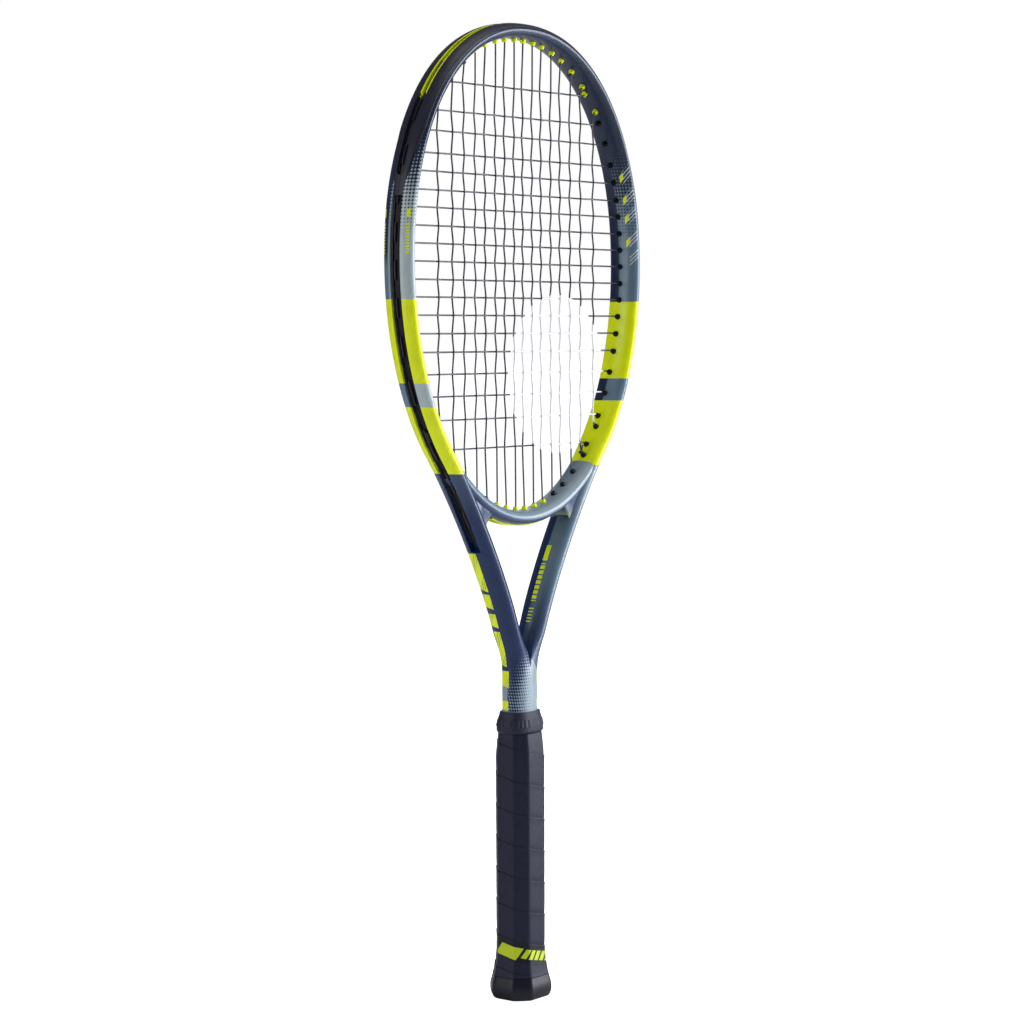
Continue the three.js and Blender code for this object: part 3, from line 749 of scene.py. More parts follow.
def bumper_plastic():
    """Satin plastic with fine scuffs along the crown."""
    s = Surface("Bumper_plastic", 0.4, Specular_IOR_Level=0.3)
    z = s.place()[2]
    scuffs = s.ramp(s.noise(420, 4, 0.7, (0.25, 3, 1)), 0.62, 0.74)
    crown = s.ramp(z, 655, 684)
    worn = s.mix(s.product(scuffs, crown, 0.35), rgb(38, 39, 54), rgb(92, 92, 106))
    s.colour(fine_variation(s, worn, 220, 0.12))
    s.roughness(0.34, 0.5, s.noise(170))
    s.bump(s.noise(2200, 3, 0.6), 0.03, 0.6)
    return s.material


def string_polymer():
    """Dark co-polymer string, inked white inside a plain round stencil."""
    s = Surface("String_polymer", 0.3)
    x, y, z = s.place()
    dx = s.math("SUBTRACT", x, STENCIL["x"])
    dz = s.math("SUBTRACT", z, STENCIL["z"])
    radius = s.math("SQRT", s.sum(s.product(dx, dx), s.product(dz, dz)))
    ragged = s.sum(radius, s.product(s.noise(800), 1.2))
    inked = s.ramp(ragged, STENCIL["radius"], STENCIL["radius"] - 1)
    on_face = s.below(s.size(y), STENCIL["depth"])
    base = fine_variation(s, rgb(42, 40, 58), 500, 0.25)
    s.colour(s.mix(s.product(inked, on_face), base, WHITE_INK))
    s.roughness(0.26, 0.4, s.noise(600))
    s.bump(s.noise(3200, 2), 0.02, 0.5)
    return s.material


def grip_leather():
    """Dark synthetic leather with a fine grain, painted shade beside the seams, and a printed band near the
    butt.
    """
    s = Surface("Grip_leather", 0.46, Specular_IOR_Level=0.24)
    z = s.place()[2]
    wrap, share = s.surface()
    phase = s.repeat(wrap, GRIP_PITCH)
    # Painted shade: the leather darkens towards each seam, where one turn of the wrap dips under the next.
    seam = s.either(s.ramp(phase, 0.05, 0.0), s.ramp(phase, 0.97, 1.0))
    grain = s.cells(1500, "SMOOTH_F1")
    base = fine_variation(s, rgb(28, 30, 54), 260, 0.3)
    colour = s.mix(s.product(seam, 0.6), base, rgb(14, 14, 20))
    # The printed band follows the wrap once round, and its height is measured from the seam.
    height = s.sum(z, s.product(share, GRIP_PITCH))
    colour = s.mix(s.product(s.inside(height, 39.4, 53.4), 0.7), colour, rgb(16, 16, 22))
    slanted = s.sum(s.product(share, 105), s.product(height, -0.62), 40)
    pattern = s.repeat(slanted, 52.5)
    block = s.product(s.below(pattern, 0.32), s.inside(height, 41.2, 50.2))
    bars = s.product(s.inside(pattern, 0.36, 0.84), s.stripes(s.sum(slanted, -3.15), 5.25, 0.7))
    bars = s.product(bars, s.inside(height, 43.2, 50))
    s.colour(s.mix(s.either(block, bars), colour, rgb(192, 210, 34)))
    s.roughness(0.4, 0.56, s.noise(300))
    s.bump(s.noise(70, 2), 0.25, 0.4)
    s.bump(grain, 0.09, 0.5)
    return s.material


def foam():
    s = Surface("Pallet_foam", 0.85)
    pores = s.cells(900)
    s.colour(s.mix(s.ramp(pores, 0.25, 0.6), rgb(188, 178, 148), rgb(214, 206, 180)))
    s.bump(pores, 0.15, 0.6)
    return s.material


def steel():
    s = Surface("Staple_steel", 0.3, Metallic=1.0)
    s.colour(s.mix(s.noise(900, 2, 0.5, (1, 1, 6)), rgb(150, 150, 152), rgb(190, 190, 190)))
    s.roughness(0.24, 0.4, s.noise(700))
    return s.material


def vinyl_tape():
    s = Surface("Finishing_tape", 0.42)
    s.colour(fine_variation(s, rgb(26, 27, 33), 300, 0.3))
    s.bump(s.noise(240, 3, 0.5, (1, 1, 0.3)), 0.12, 0.5)
    return s.material


# ---- Frame: one skin from the left end of the shaft, over the crown, to the right end ----

SKIN_COLUMNS = 44
SKIN_ROUND = 49.4
GROOVE_LIP = 0.35
CROTCH_Z = 236
CROTCH_GAP = 0.45
MERGE = {"top_z": 262, "bottom_z": 228}
SHAFT_LEVELS = [220, 212, 190, 120, SHAFT["bottom_z"]]


def face_of(half_wide, half_deep, y):
    """The beam's outer surface at a depth y."""
    return half_wide * (1 - np.abs(np.asarray(y, float) / half_deep) ** BEAM["power"]) ** (1 / BEAM["power"])


def beam_section(wide, deep, recess=0.0, grooved=False):
    """The beam, with a groove in its outer side or without; recess makes that side lower."""
    edge = GROOVE["half_width"]
    start = math.asin(((edge + 0.3) / (deep / 2)) ** (BEAM["power"] / 2))
    angles = np.linspace(start, 2 * math.pi - start, SKIN_COLUMNS)
    skin = superellipse(wide / 2, deep / 2, BEAM["power"], angles)
    outer = skin[:, 0] > 0
    skin[outer, 0] *= (wide / 2 - recess) / (wide / 2)
    ys = [edge + 0.08, edge, edge, edge * 0.5, 0]
    ys = [-v for v in ys] + ys[-2::-1]
    if grooved:
        lip = float(skin[0, 0])
        half = [lip - 0.08, lip - GROOVE_LIP] + 3 * [GROOVE["floor"]]
        bottom = half + half[-2::-1]
    else:
        bottom = face_of(wide / 2 - recess, deep / 2, ys)
    return np.vstack([skin, np.stack([bottom, ys], axis=-1)])


def arm_size(z):
    return np.interp(z, ARM_Z, ARM_WIDE), np.interp(z, ARM_Z, ARM_DEEP)


def skin_share(section):
    """0 to 1 over the skin from one lip of the groove to the other, and on past 1 across the groove."""
    lengths = around(section)
    return lengths / lengths[SKIN_COLUMNS - 1]


def frame_places():
    """Places down one side of the hairpin, from crown to end, closer together at changes of section."""
    even = np.concatenate([np.linspace(0, 1, 150), np.linspace(1, 2, 70)[1:]])
    groove_end = rail_at_height(GROOVE["end_z"])
    recess_end = rail_at_height(BUMPER["tip_z"] - 5)
    recess_full = rail_at_height(BUMPER["tip_z"] - 1)
    return np.array(sorted([*even, groove_end - 0.0015, groove_end + 0.0015, recess_end, recess_full]))


def half_shaft(rays):
    """The right half of the shaft, cut at X = 0, along rays from the arm's centre."""
    half_x, half_y = SHAFT["half"]
    made = []
    for dx, dy in rays:
        def outside(t):
            x, y = ARM["end_x"] + dx * t, dy * t
            return max(-x, abs(x / half_x) ** SHAFT["power"] + abs(y / half_y) ** SHAFT["power"] - 1)

        reach = solve(outside, 0, 40)
        made.append([max(ARM["end_x"] + dx * reach, 0), dy * reach])
    return np.array(made)


def shaft_rays():
    """Directions from the arm's centre to its last section's points, two turned to the shaft's middle."""
    end_section = beam_section(*arm_size(ARM["end_z"]))
    rays = end_section / np.linalg.norm(end_section, axis=1)[:, None]
    corner = unit(np.array([-ARM["end_x"], SHAFT["half"][1]]))
    for sign in (-1, 1):
        nearest = np.argmin(np.linalg.norm(rays - corner * [1, sign], axis=1))
        rays[nearest] = corner * [1, sign]
    return rays


def drop_middle_faces(skin):
    """Takes out the faces in the plane X = 0, where the two halves of the shaft meet."""
    faces, uvs = [], []
    first = 0
    for face in skin.faces:
        is_cap = len(face) > 4
        if is_cap or any(abs(skin.points[v][0]) > 1e-9 for v in face):
            faces.append(face)
            uvs += skin.uvs[first:first + len(face)]
        first += len(face)
    skin.faces, skin.uvs = faces, uvs


def frame_shell():
    places = frame_places()
    rings, shares = [], []
    for q in places:
        z = rail(q)[0][1]
        recess = BUMPER["recess"] * float(smooth(z, BUMPER["tip_z"] - 5, BUMPER["tip_z"] + 38))
        section = beam_section(*arm_size(z), recess, z > GROOVE["end_z"])
        rings.append(ring(rail, q, section))
        shares.append(skin_share(section))
    along = list(track_lengths(rail, places))
    # The arm's last ring carries on straight down, and below the crotch each ring is half of the shaft.
    for z in SHAFT_LEVELS:
        along.append(along[-1] + abs(rings[-1][0][2] - z) * MM)
        rings.append(rings[-1] * [1, 1, 0] + [0, 0, z])
        shares.append(shares[-1])
    target = half_shaft(shaft_rays())
    for points in rings:
        middle = points[:, 2].mean()
        if middle > MERGE["top_z"]:
            continue
        turn = 1 - float(smooth(middle, MERGE["bottom_z"], MERGE["top_z"]))
        flat = points[:, :2] * (1 - turn) + target * turn
        if middle < CROTCH_Z:
            flat[flat[:, 0] < CROTCH_GAP, 0] = 0
        points[:, :2] = flat
    right, share, distance = np.array(rings), np.array(shares), np.array(along)
    skin = Skin().shell(
        np.concatenate([right[:0:-1] * [-1, 1, 1], right]),
        along=np.concatenate([-distance[:0:-1], distance]),
        across=np.concatenate([share[:0:-1], share]),
    )
    drop_middle_faces(skin)
    return skin.piece("frame_shell", "frame_paint", frame_paint(), stands_for=["frame_tube"], sharp=40)


# ---- Throat bridge and its corner webs ----


def rounded_slab(skin, outline, half, edge):
    """A flat plate with softened edges; its outline lies in the plane of the head."""
    outline = np.asarray(outline, float)
    centre = outline.mean(axis=0)
    inset = centre + (outline - centre) * (1 - edge / np.linalg.norm(outline - centre, axis=1))[:, None]
    levels = [(-half, inset), (-half + edge * 0.3, (inset + 2 * outline) / 3), (-half + edge, outline)]
    levels += [(-y, shape) for y, shape in reversed(levels)]
    rings = [np.column_stack([shape[:, 0], np.full(len(shape), y), shape[:, 1]]) for y, shape in levels]
    across = np.full((len(rings), len(outline) + 1), -1.0)
    skin.shell(rings, along=np.zeros(len(rings)), across=across)


def bridge_shell():
    places = np.linspace(-BRIDGE["half_angle"] - 0.03, BRIDGE["half_angle"] + 0.03, 90)
    groove_end = WEB["end_angle"]
    steps = [s * (groove_end + d) for s in (-1, 1) for d in (-0.002, 0.002)]
    places = np.array(sorted([*places, *steps]))
    sections = [beam_section(BEAM["wide"], BRIDGE["deep"], 0, abs(at) < groove_end) for at in places]
    skin = Skin()
    skin.shell(
        [ring(bridge_rail, at, section) for at, section in zip(places, sections)],
        along=track_lengths(bridge_rail, places),
        across=np.array([skin_share(section) for section in sections]),
    )
    for sign in (-1, 1):
        on_bridge = [bridge_rail(at)[0] for at in np.linspace(WEB["start_angle"], WEB["end_angle"], 10)]
        low = rail_at_height(WEB["end_z"])
        high = rail_at_height(bridge_rail(WEB["start_angle"])[0][1] - 1)
        on_arm = [rail(at)[0] for at in np.linspace(low, high, 8)]
        outline = np.array([*on_bridge, *on_arm]) * [sign, 1]
        rounded_slab(skin, outline, WEB["deep"] / 2, 0.8)
    return skin.piece("bridge_shell", "bridge_paint", bridge_paint(), stands_for=["throat_bridge"])


# ---- Bumper ----

BUMPER_FLOOR = 2.8
SLOT_ROUND = 0.0058


def bumper_section(q, slot_end):
    """A shell over the beam's outer side, with the string's channel down its middle."""
    z = rail(q)[0][1]
    tip_half = BUMPER["tip_half_width"]
    half = float(np.interp(z, [BUMPER["tip_z"], BUMPER["full_z"]], [tip_half, BUMPER["half_width"]]))
    # The channel's end is round: its half width grows over a distance of its own size.
    slot = 0.0
    if abs(q) < slot_end:
        grown = min((slot_end - abs(q)) / SLOT_ROUND, 1)
        slot = BUMPER_SLOT["half_width"] * math.sqrt(1 - (1 - grown) ** 2)
    thin = 0.9 * (1 - float(smooth(z, BUMPER["tip_z"], BUMPER["tip_z"] + 16)))
    outer_half = BEAM["wide"] / 2
    deep_half = BEAM["deep"] / 2
    slot_wide = max(slot, 0.01)
    wall = half - 0.9
    top = [(half, 0.55), (half - 0.35, 0.12), (wall, 0)]
    top += [(slot_wide + (wall - slot_wide) * share, 0) for share in (0.8, 0.6, 0.4, 0.2, 0.05)]
    top.append((slot_wide, 0.15))
    rows = [(float(face_of(outer_half, deep_half, y)) - drop - thin, y) for y, drop in top]
    rows.append((BUMPER_FLOOR if slot > 0.3 else rows[-1][0], slot_wide))
    upper = rows + [(n, -y) for n, y in reversed(rows)]
    cover = GROOVE["half_width"] + 0.1
    under = []
    for y in (half, half * 0.75, cover):
        n = float(face_of(outer_half - BUMPER["recess"], deep_half, y)) + 0.3
        under.append((min(n, BUMPER_FLOOR - 0.02) if y < cover else min(n, rows[0][0] - 0.05), y))
    inner = BUMPER_FLOOR - 0.08
    lower = [(n, -y) for n, y in under] + [(inner, -cover + 0.3), (inner, cover - 0.3)] + under[::-1]
    return np.array(upper + lower)


def bumper_shell():
    end = rail_at_height(BUMPER["tip_z"])
    slot_end = rail_at_height(BUMPER_SLOT["end_z"])
    near_slot_end = slot_end - np.array([-0.002, -0.0004, 0.0004, 0.002, 0.005, 0.009, 0.014, 0.02])
    half = np.array(sorted([*np.linspace(0, end, 90), *near_slot_end]))
    places = np.concatenate([-half[:0:-1], half])
    rings = [ring(rail, q, bumper_section(q, slot_end)) for q in places]
    skin = Skin().shell(rings)
    return skin.piece("bumper_shell", "bumper", bumper_plastic(), stands_for=["bumper_guard"])


# ---- Grommet strips with their barrels ----

BARREL_SIDES = 18
# From inside the mouth, round its flare and back to where the wall starts: place along the barrel and radius.
BARREL_PROFILE = [
    (2.0, 0.95), (0.3, 0.95), (0.06, 1.08), (0.0, 1.25), (0.06, 1.46), (0.3, 1.68), (0.8, 1.84), (2.3, 2.2),
]


def barrel(skin, passage):
    """A flared tube from its mouth inside the head to the strip."""
    way = in_space(passage["way"], 0)
    mouth = in_space(passage["mouth"], passage["y"])
    out = in_space(passage["out"], passage["y"])
    length = np.linalg.norm(out - mouth) - (1.9 if passage["slanted"] else 1.6)
    side = np.array([0.0, 1.0, 0.0])
    other = np.cross(way, side)
    profile = [*BARREL_PROFILE, (length, 2.3), (length, 0.95)]
    skin.shell([circle(mouth + way * s, r, side, other, BARREL_SIDES) for s, r in profile], loop=True)


def strip_section(cradle, ridge):
    """A strip with low walls that guide the string, or taller ridges under the bumper's slot."""
    half = STRIP["half_width"]
    low, high = STRIP["low"], STRIP["high"]
    wall = high + cradle
    inner = 2.35
    if ridge > 0:
        half_section = [
            (high, half), (high, 3.05), (high + ridge - 0.15, 2.95), (high + ridge, 2.75),
            (high + ridge, 1.75), (high + ridge - 0.15, 1.55), (high, 1.45),
        ]
    else:
        half_section = [
            (wall - 0.2, half), (wall, half - 0.2), (wall, inner + 0.3), (wall - 0.2, inner),
            (high + 0.1, inner - 0.1), (high, inner - 0.3), (high, 1.45),
        ]
    upper = [(low, half)] + half_section
    return np.array(upper + [(n, -y) for n, y in reversed(upper)])


def strip_piece(name, slot, material, track, places, node, ridge_end=None, cradle=0.75, pads=0.5):
    """A strip with its barrels; pads raise its walls beside each one."""
    skin = Skin()
    held = [g for g in GATES if g["track"] is track and places[0] < g["at"] < places[-1]]
    stops = np.array([g["at"] for g in held])
    rings = []
    for at in places:
        nearest = float(np.min(np.abs(stops - at))) if len(stops) else 1
        pad = pads * (1 - float(smooth(nearest, 0.008, 0.016)))
        ridge = 0.0
        if ridge_end is not None:
            ridge = 2.15 * float(smooth(ridge_end - abs(at), 0, 0.006))
        rings.append(ring(track, at, strip_section(cradle + pad, ridge)))
    skin.shell(rings)
    for passage in held:
        barrel(skin, passage)
    return skin.piece(name, slot, material, stands_for=[node])


def grommet_strips():
    lime = satin("Lime_nylon")
    black = satin("Black_nylon")
    head_end = rail_at_height(HEAD_STRIP_END_Z)
    side_top = rail_at_height(HEAD_STRIP_END_Z - 0.6)
    side_end = rail_at_height(GROOVE["end_z"] + 6)
    ridge_end = rail_at_height(LIME_RIDGE_END_Z)
    ends = ridge_end - np.array([-0.001, 0, 0.001, 0.002, 0.004, 0.006, 0.007])
    head = np.array(sorted([*np.linspace(-head_end, head_end, 161), *ends, *-ends]))
    side = np.linspace(side_top, side_end, 190)
    strip_piece("head_grommets", "lime_grommet", lime, rail, head, "head_grommet_strip", ridge_end)
    strip_piece("left_grommets", "black_grommet", black, rail, -side[::-1], "left_grommet_strip")
    strip_piece("right_grommets", "black_grommet", black, rail, side, "right_grommet_strip")
    bottom = np.linspace(-BRIDGE_STRIP_ANGLE, BRIDGE_STRIP_ANGLE, 60)
    strip_piece(
        "throat_grommets", "lime_grommet", lime, bridge_rail, bottom, "throat_grommet_strip",
        cradle=3.1, pads=0,
    )


# ---- Strings ----


def tube_rings(path, radius, sides=8):
    """Rings round a path, turned as little as possible from one to the next."""
    path = np.asarray(path, float)
    tangents = np.gradient(path, axis=0)
    tangents /= np.linalg.norm(tangents, axis=1)[:, None]
    side = unit(np.cross(tangents[0], [0.3, 1, 0.2]))
    rings = []
    for point, tangent in zip(path, tangents):
        side = unit(side - tangent * side.dot(tangent))
        rings.append(circle(point, radius, side, np.cross(tangent, side), sides))
    return rings


def eased_corners(points, reach=1.1, sharp=14):
    """Rounds each corner of a path that turns by more than sharp degrees."""
    points = [np.asarray(p, float) for p in points]
    made = [points[0]]
    for before, corner, after in zip(points, points[1:], points[2:]):
        back, ahead = before - corner, after - corner
        near, far = np.linalg.norm(back), np.linalg.norm(ahead)
        if near < 1e-6 or far < 1e-6:
            continue
        turn = math.degrees(math.acos(max(-1, min(1, -back.dot(ahead) / near / far))))
        if turn < sharp:
            made.append(corner)
            continue
        start = corner + back / near * min(reach, near * 0.45)
        end = corner + ahead / far * min(reach, far * 0.45)
        made += [eased(start, corner, end, t) for t in np.linspace(0, 1, 5)]
    return np.array([*made, points[-1]])


def woven(start, end, crossings, steps=5):
    """Points of one run from a gate to the next, over and under the strings that it meets.

    Each crossing is (place along the run from 0 to 1, Y there)."""
    stops = [(0, start[1]), *crossings, (1, end[1])]
    points = []
    for (a, ya), (b, yb) in zip(stops, stops[1:]):
        for i in range(steps):
            t = i / steps
            place = a + (b - a) * t
            flat = start * (1 - place) + end * place
            eased = 0.55 * t + 0.45 * float(smooth(t, 0, 1))
            points.append([flat[0], ya + (yb - ya) * eased, flat[2]])
    points.append(list(end))
    return points


def main_run(index, start, end):
    x = start["bend"][0]
    a, b = in_space(start["bend"], start["y"]), in_space(end["bend"], end["y"])
    crossings = []
    for j, z in enumerate(CROSS_Z):
        left, right = CROSS_GATES[j]
        if left["bend"][0] < x - 1 and x + 1 < right["bend"][0]:
            place = (z - a[2]) / (b[2] - a[2])
            if 0.004 < place < 0.996:
                crossings.append((place, WEAVE * (-1) ** (index + j)))
    return woven(a, b, sorted(crossings))


def cross_run(index, start, end):
    z = CROSS_Z[index]
    a, b = in_space(start["bend"], start["y"]), in_space(end["bend"], end["y"])
    crossings = []
    for i, (top, bottom) in enumerate(MAIN_GATES):
        x = top["bend"][0]
        place = (x - a[0]) / (b[0] - a[0])
        if bottom["bend"][1] < z - 1 and z + 1 < top["bend"][1] and 0.004 < place < 0.996:
            crossings.append((place, -WEAVE * (-1) ** (i + index)))
    return woven(a, b, sorted(crossings))


def loop_between(start, end):
    """The stretch of string in the outer groove between two gates."""
    step = 0.012 if start["track"] is rail else 0.03
    count = max(1, round(abs(end["at"] - start["at"]) / step))
    return [
        in_space(offset(start["track"], at, STRING_LOOP), start["y"])
        for at in np.linspace(start["at"], end["at"], count + 1)
    ]


def tail(passage):
    away = passage["at"] - math.copysign(0.02, passage["at"])
    return in_space(offset(passage["track"], away, STRING_LOOP), passage["y"])


def serpentine(runs, run_points):
    """One string: down a run, along the groove to the next gate, and back up the next run."""
    first = runs[0][0]
    points = [tail(first), in_space(first["out"], first["y"])]
    for i, (start, end) in enumerate(runs):
        points += run_points(i, start, end)
        if i + 1 < len(runs):
            points += loop_between(end, runs[i + 1][0])
    last = runs[-1][1]
    points += [in_space(last["out"], last["y"]), tail(last)]
    return eased_corners(points)


def knot_path(centre, size):
    """A small overhand knot."""
    t = np.linspace(0, 2 * math.pi, 40)
    x = np.sin(t) + 2 * np.sin(2 * t)
    y = np.cos(t) - 2 * np.cos(2 * t)
    z = -np.sin(3 * t)
    return np.stack([x, y, z * 1.1], axis=-1) * size + centre


def strings():
    """Both strings with the knots that tie them off; each knot of the mains has a short cut end."""
    material = string_polymer()
    main_runs = [(top, low) if i % 2 else (low, top) for i, (top, low) in enumerate(MAIN_GATES)]
    cross_runs = [(right, left) if i % 2 else (left, right) for i, (left, right) in enumerate(CROSS_GATES)]
    mains = Skin().shell(tube_rings(serpentine(main_runs, main_run), STRING_RADIUS))
    for index, side in ((1, -1), (14, 1)):
        low = MAIN_GATES[index][1]
        centre = in_space(low["bend"] - low["way"] * 0.6, low["y"])
        mains.shell(tube_rings(knot_path(centre, 0.48), 0.6))
        tip = centre + np.array([side * 1.2, -0.6, 5.2])
        mains.shell(tube_rings(np.linspace(centre, tip, 5), 0.55))
    mains.piece("main_string_woven", "string", material, stands_for=["main_string"], sharp=60)
    crosses = Skin().shell(tube_rings(serpentine(cross_runs, cross_run), STRING_RADIUS))
    for index in (2, 13):
        top = MAIN_GATES[index][0]
        centre = in_space(top["bend"] - top["way"] * 0.6, top["y"] + 0.4)
        crosses.shell(tube_rings(knot_path(centre, 0.42), 0.55))
    crosses.piece("cross_string_woven", "string", material, stands_for=["cross_string"], sharp=60)


# ---- Handle ----

GRIP_PITCH = 22.7
SEAM_DROP = 7.4
GRIP_CORNER = 3.2
GRIP_END = 1.2
ARC_POINTS = 5
FLAT_POINTS = 3
# Rows of one turn of the wrap: the place within the pitch, and how far the row stands off the handle.
WRAP_ROWS = [
    (0, -0.22), (0.02, -0.2), (0.05, -0.12), (0.1, -0.04), (0.2, 0), (0.35, 0.04), (0.5, 0.06),
    (0.65, 0.06), (0.8, 0.05), (0.9, 0.1), (0.95, 0.2), (0.98, 0.24), (0.992, 0.12),
]
BUTT_LEVELS = [0, 0.15, 0.5, 1, 1.6, 2.4, 3.5, 5, 6.5, 8, 9.5, 11, 12.5, 14, 15, 15.7, 16]
BUTT_ROUND = 0.8
HOLLOW = (27.9, 24.4)
COLLAR_LEVELS = [
    188, 188.2, 188.6, 189.2, 189.5, 190.3, 191.2, 192.1, 192.6, 192.8, 193, 194,
    195, 196, 197, 197.4, 197.6, 198, 199.5, 201, 202, 202.6, 202.9,
]
COLLAR_GROOVE = {"low": 200.2, "high": 201.6, "deep": 0.2}
RIBS = {"low": 192.7, "high": 197.5, "proud": 0.38}


def rounded_octagon(x, y, radius):
    """The handle's outline, counter-clockwise from the middle of the +X facet, with eased corners."""
    cut = OCTAGON_CUT * x
    a, b = x / 2, y / 2
    corners = np.array([
        [a, b - cut], [a - cut, b], [cut - a, b], [-a, b - cut],
        [-a, cut - b], [cut - a, -b], [a - cut, -b], [a, cut - b],
    ])
    reach = radius * math.tan(math.radians(22.5))
    made = []
    for i, corner in enumerate(corners):
        before, after = corners[i - 1], corners[(i + 1) % 8]
        start = corner + unit(before - corner) * reach
        end = corner + unit(after - corner) * reach
        made += [eased(start, corner, end, t) for t in np.linspace(0, 1, ARC_POINTS)]
        next_start = after + unit(corner - after) * reach
        made += [end * (1 - t) + next_start * t for t in np.linspace(0, 1, FLAT_POINTS + 2)[1:-1]]
    return np.array(made)


def grip_wrap():
    """The wound grip: rows follow the seam round the handle, so that each turn's edge is crisp."""
    base = rounded_octagon(*HANDLE, GRIP_CORNER)
    by_x = rounded_octagon(HANDLE[0] + 1, HANDLE[1], GRIP_CORNER) - base
    by_y = rounded_octagon(HANDLE[0], HANDLE[1] + 1, GRIP_CORNER) - base
    columns = len(base)
    lengths = around(base)
    share = lengths / lengths[-1]

    def outline(index, x, y):
        wider, deeper = (np.reshape(v - size, (-1, 1)) for v, size in zip((x, y), HANDLE))
        return base[index] + by_x[index] * wider + by_y[index] * deeper

    low, high = GRIP_Z[0], GRIP_Z[-1]
    closed = np.arange(columns + 1) % columns
    rows, along = [], []
    for turn in range(math.ceil((high - low) / GRIP_PITCH) + 1):
        for phase, lift in WRAP_ROWS:
            wound = (turn + phase) * GRIP_PITCH
            z = np.clip(low - SEAM_DROP + wound - GRIP_PITCH * share, low, high)
            ease = smooth(z, low, low + GRIP_END) * (1 - smooth(z, high - GRIP_END, high))
            x = np.interp(z, GRIP_Z, GRIP_X) + 2 * lift * ease
            y = np.interp(z, GRIP_Z, GRIP_Y) + 2 * lift * ease
            rows.append(np.column_stack([outline(closed, x, y), z]))
            along.append(wound * MM)
    points = np.concatenate(rows)
    faces, uvs = [], []
    for r in range(len(rows) - 1):
        for c in range(columns):
            corners = [(r, c), (r, c + 1), (r + 1, c + 1), (r + 1, c)]
            faces.append([i * (columns + 1) + j for i, j in corners])
            uvs += [(along[i], share[j]) for i, j in corners]
    for end in (0, -1):
        start = len(points)
        cap = outline(np.arange(columns), GRIP_X[end], GRIP_Y[end])
        points = np.vstack([points, level(cap, GRIP_Z[end])])
        faces.append([start + i for i in range(columns)])
        uvs += [(0, share[i]) for i in range(columns)]
    piece("grip_wrap", "grip_leather", grip_leather(), points, faces, uvs, sharp=50, stands_for=["grip"])


def curve_through(zs, values, at):
    """A smooth curve through a table, for rounded profiles."""
    slopes = np.gradient(values, zs)
    i = int(np.clip(np.searchsorted(zs, at) - 1, 0, len(zs) - 2))
    span = zs[i + 1] - zs[i]
    t = (at - zs[i]) / span
    a, b = values[i], values[i + 1]
    da, db = slopes[i] * span, slopes[i + 1] * span
    return a + da * t + (3 * (b - a) - 2 * da - db) * t ** 2 + (2 * (a - b) + da + db) * t ** 3


def butt():
    """The butt cap: its rounded outside, its sleeve up into the grip, and its hollow down to the opening."""
    levels = []
    for z in BUTT_LEVELS:
        pull = BUTT_ROUND * (1 - math.sqrt(1 - (1 - z) ** 2)) if z < 1 else 0
        x = curve_through(BUTT_Z, BUTT_X, z) - 2 * pull
        y = curve_through(BUTT_Z, BUTT_Y, z) - 2 * pull
        levels.append((z, x, y, 4.5))
    door_x, door_y = DOOR_SIZE
    levels += [(16.1, 37, 33.2, 3), (16.6, 35.9, 32.1, 3)]
    levels += [(26, 32.1, 28.5, 2.6), (34, 30.3, 26.8, 2.4), (46, 30.3, 26.8, 2.4)]
    levels += [(46, *HOLLOW, 2.2), (3, *HOLLOW, 2.2), (3, *DOOR_SIZE, 1.2), (0.3, *DOOR_SIZE, 1.2)]
    levels += [(0, door_x + 0.6, door_y + 0.6, 1.2)]
    levels += [(0, 30, 26, 3), (0.5, 31, 27, 3), (0.5, 32, 28, 3), (0, 33, 29, 3)]
    skin = Skin().shell([level(rounded_octagon(x, y, r), z) for z, x, y, r in levels], loop=True)
    plastic = satin("Butt_plastic")
    skin.piece("butt_cap_shell", "butt_plastic", plastic, sharp=30, stands_for=["butt_cap"])
    return plastic


def ring_shell(name, slot, material, levels, power, body, node, ribs=None, rise=0):
    """A ring from [z, half x, half y] levels that close on themselves; ribs lift the outer surface."""
    angles = np.linspace(0, 2 * math.pi, 168, endpoint=False)
    rings = []
    for z, half_x, half_y in levels:
        flat = superellipse(half_x, half_y, power, angles)
        if ribs:
            flat *= 1 + ribs(z, angles)[:, None] / half_x
        rings.append(level(flat, z + rise))
    skin = Skin().shell(rings, loop=True)
    return skin.piece(name, slot, material, body=body, stands_for=[node])


def collar():
    """The rubber collar, with a row of low moulded ribs round its bulge."""
    bore = [SHAFT["half"][0] + 1.4, SHAFT["half"][1] + 1.4]
    lip = [SHAFT["half"][0] + 0.3, SHAFT["half"][1] + 0.3]
    levels = []
    for z in COLLAR_LEVELS:
        x = float(np.interp(z, COLLAR_Z, COLLAR_X))
        y = float(np.interp(z, COLLAR_Z, COLLAR_Y))
        sunk = COLLAR_GROOVE["deep"] if COLLAR_GROOVE["low"] < z < COLLAR_GROOVE["high"] else 0
        levels.append((z, x - sunk, y - sunk))
    levels += [(203, 15.0, 11.2), (203, *lip), (198.4, *lip), (197.4, *bore), (188, *bore)]

    def ribs(z, angles):
        if not RIBS["low"] < z < RIBS["high"]:
            return np.zeros(len(angles))
        return RIBS["proud"] * (np.cos(angles * COLLAR_RIBS) > 0.2)

    ring_shell(
        "collar_sleeve", "collar_rubber", satin("Collar_rubber"), levels, COLLAR_POWER,
        "collar", "grip_collar", ribs, COLLAR_RISE,
    )


def tape():
    inner = [h + TAPE["gap"] for h in SHAFT["half"]]
    outer = [h + TAPE["wall"] for h in inner]
    upper = [h - 0.2 for h in outer]
    edge = [h - 0.4 for h in outer]
    low, high = TAPE["low"], TAPE["high"]
    levels = [(low, *inner), (low, *outer), (low + 4, *outer), (low + 4.2, *upper)]
    levels += [(high - 0.2, *upper), (high, *edge), (high, *inner)]
    ring_shell("tape_wrap", "tape", vinyl_tape(), levels, SHAFT["power"], "racket", "finishing_tape")


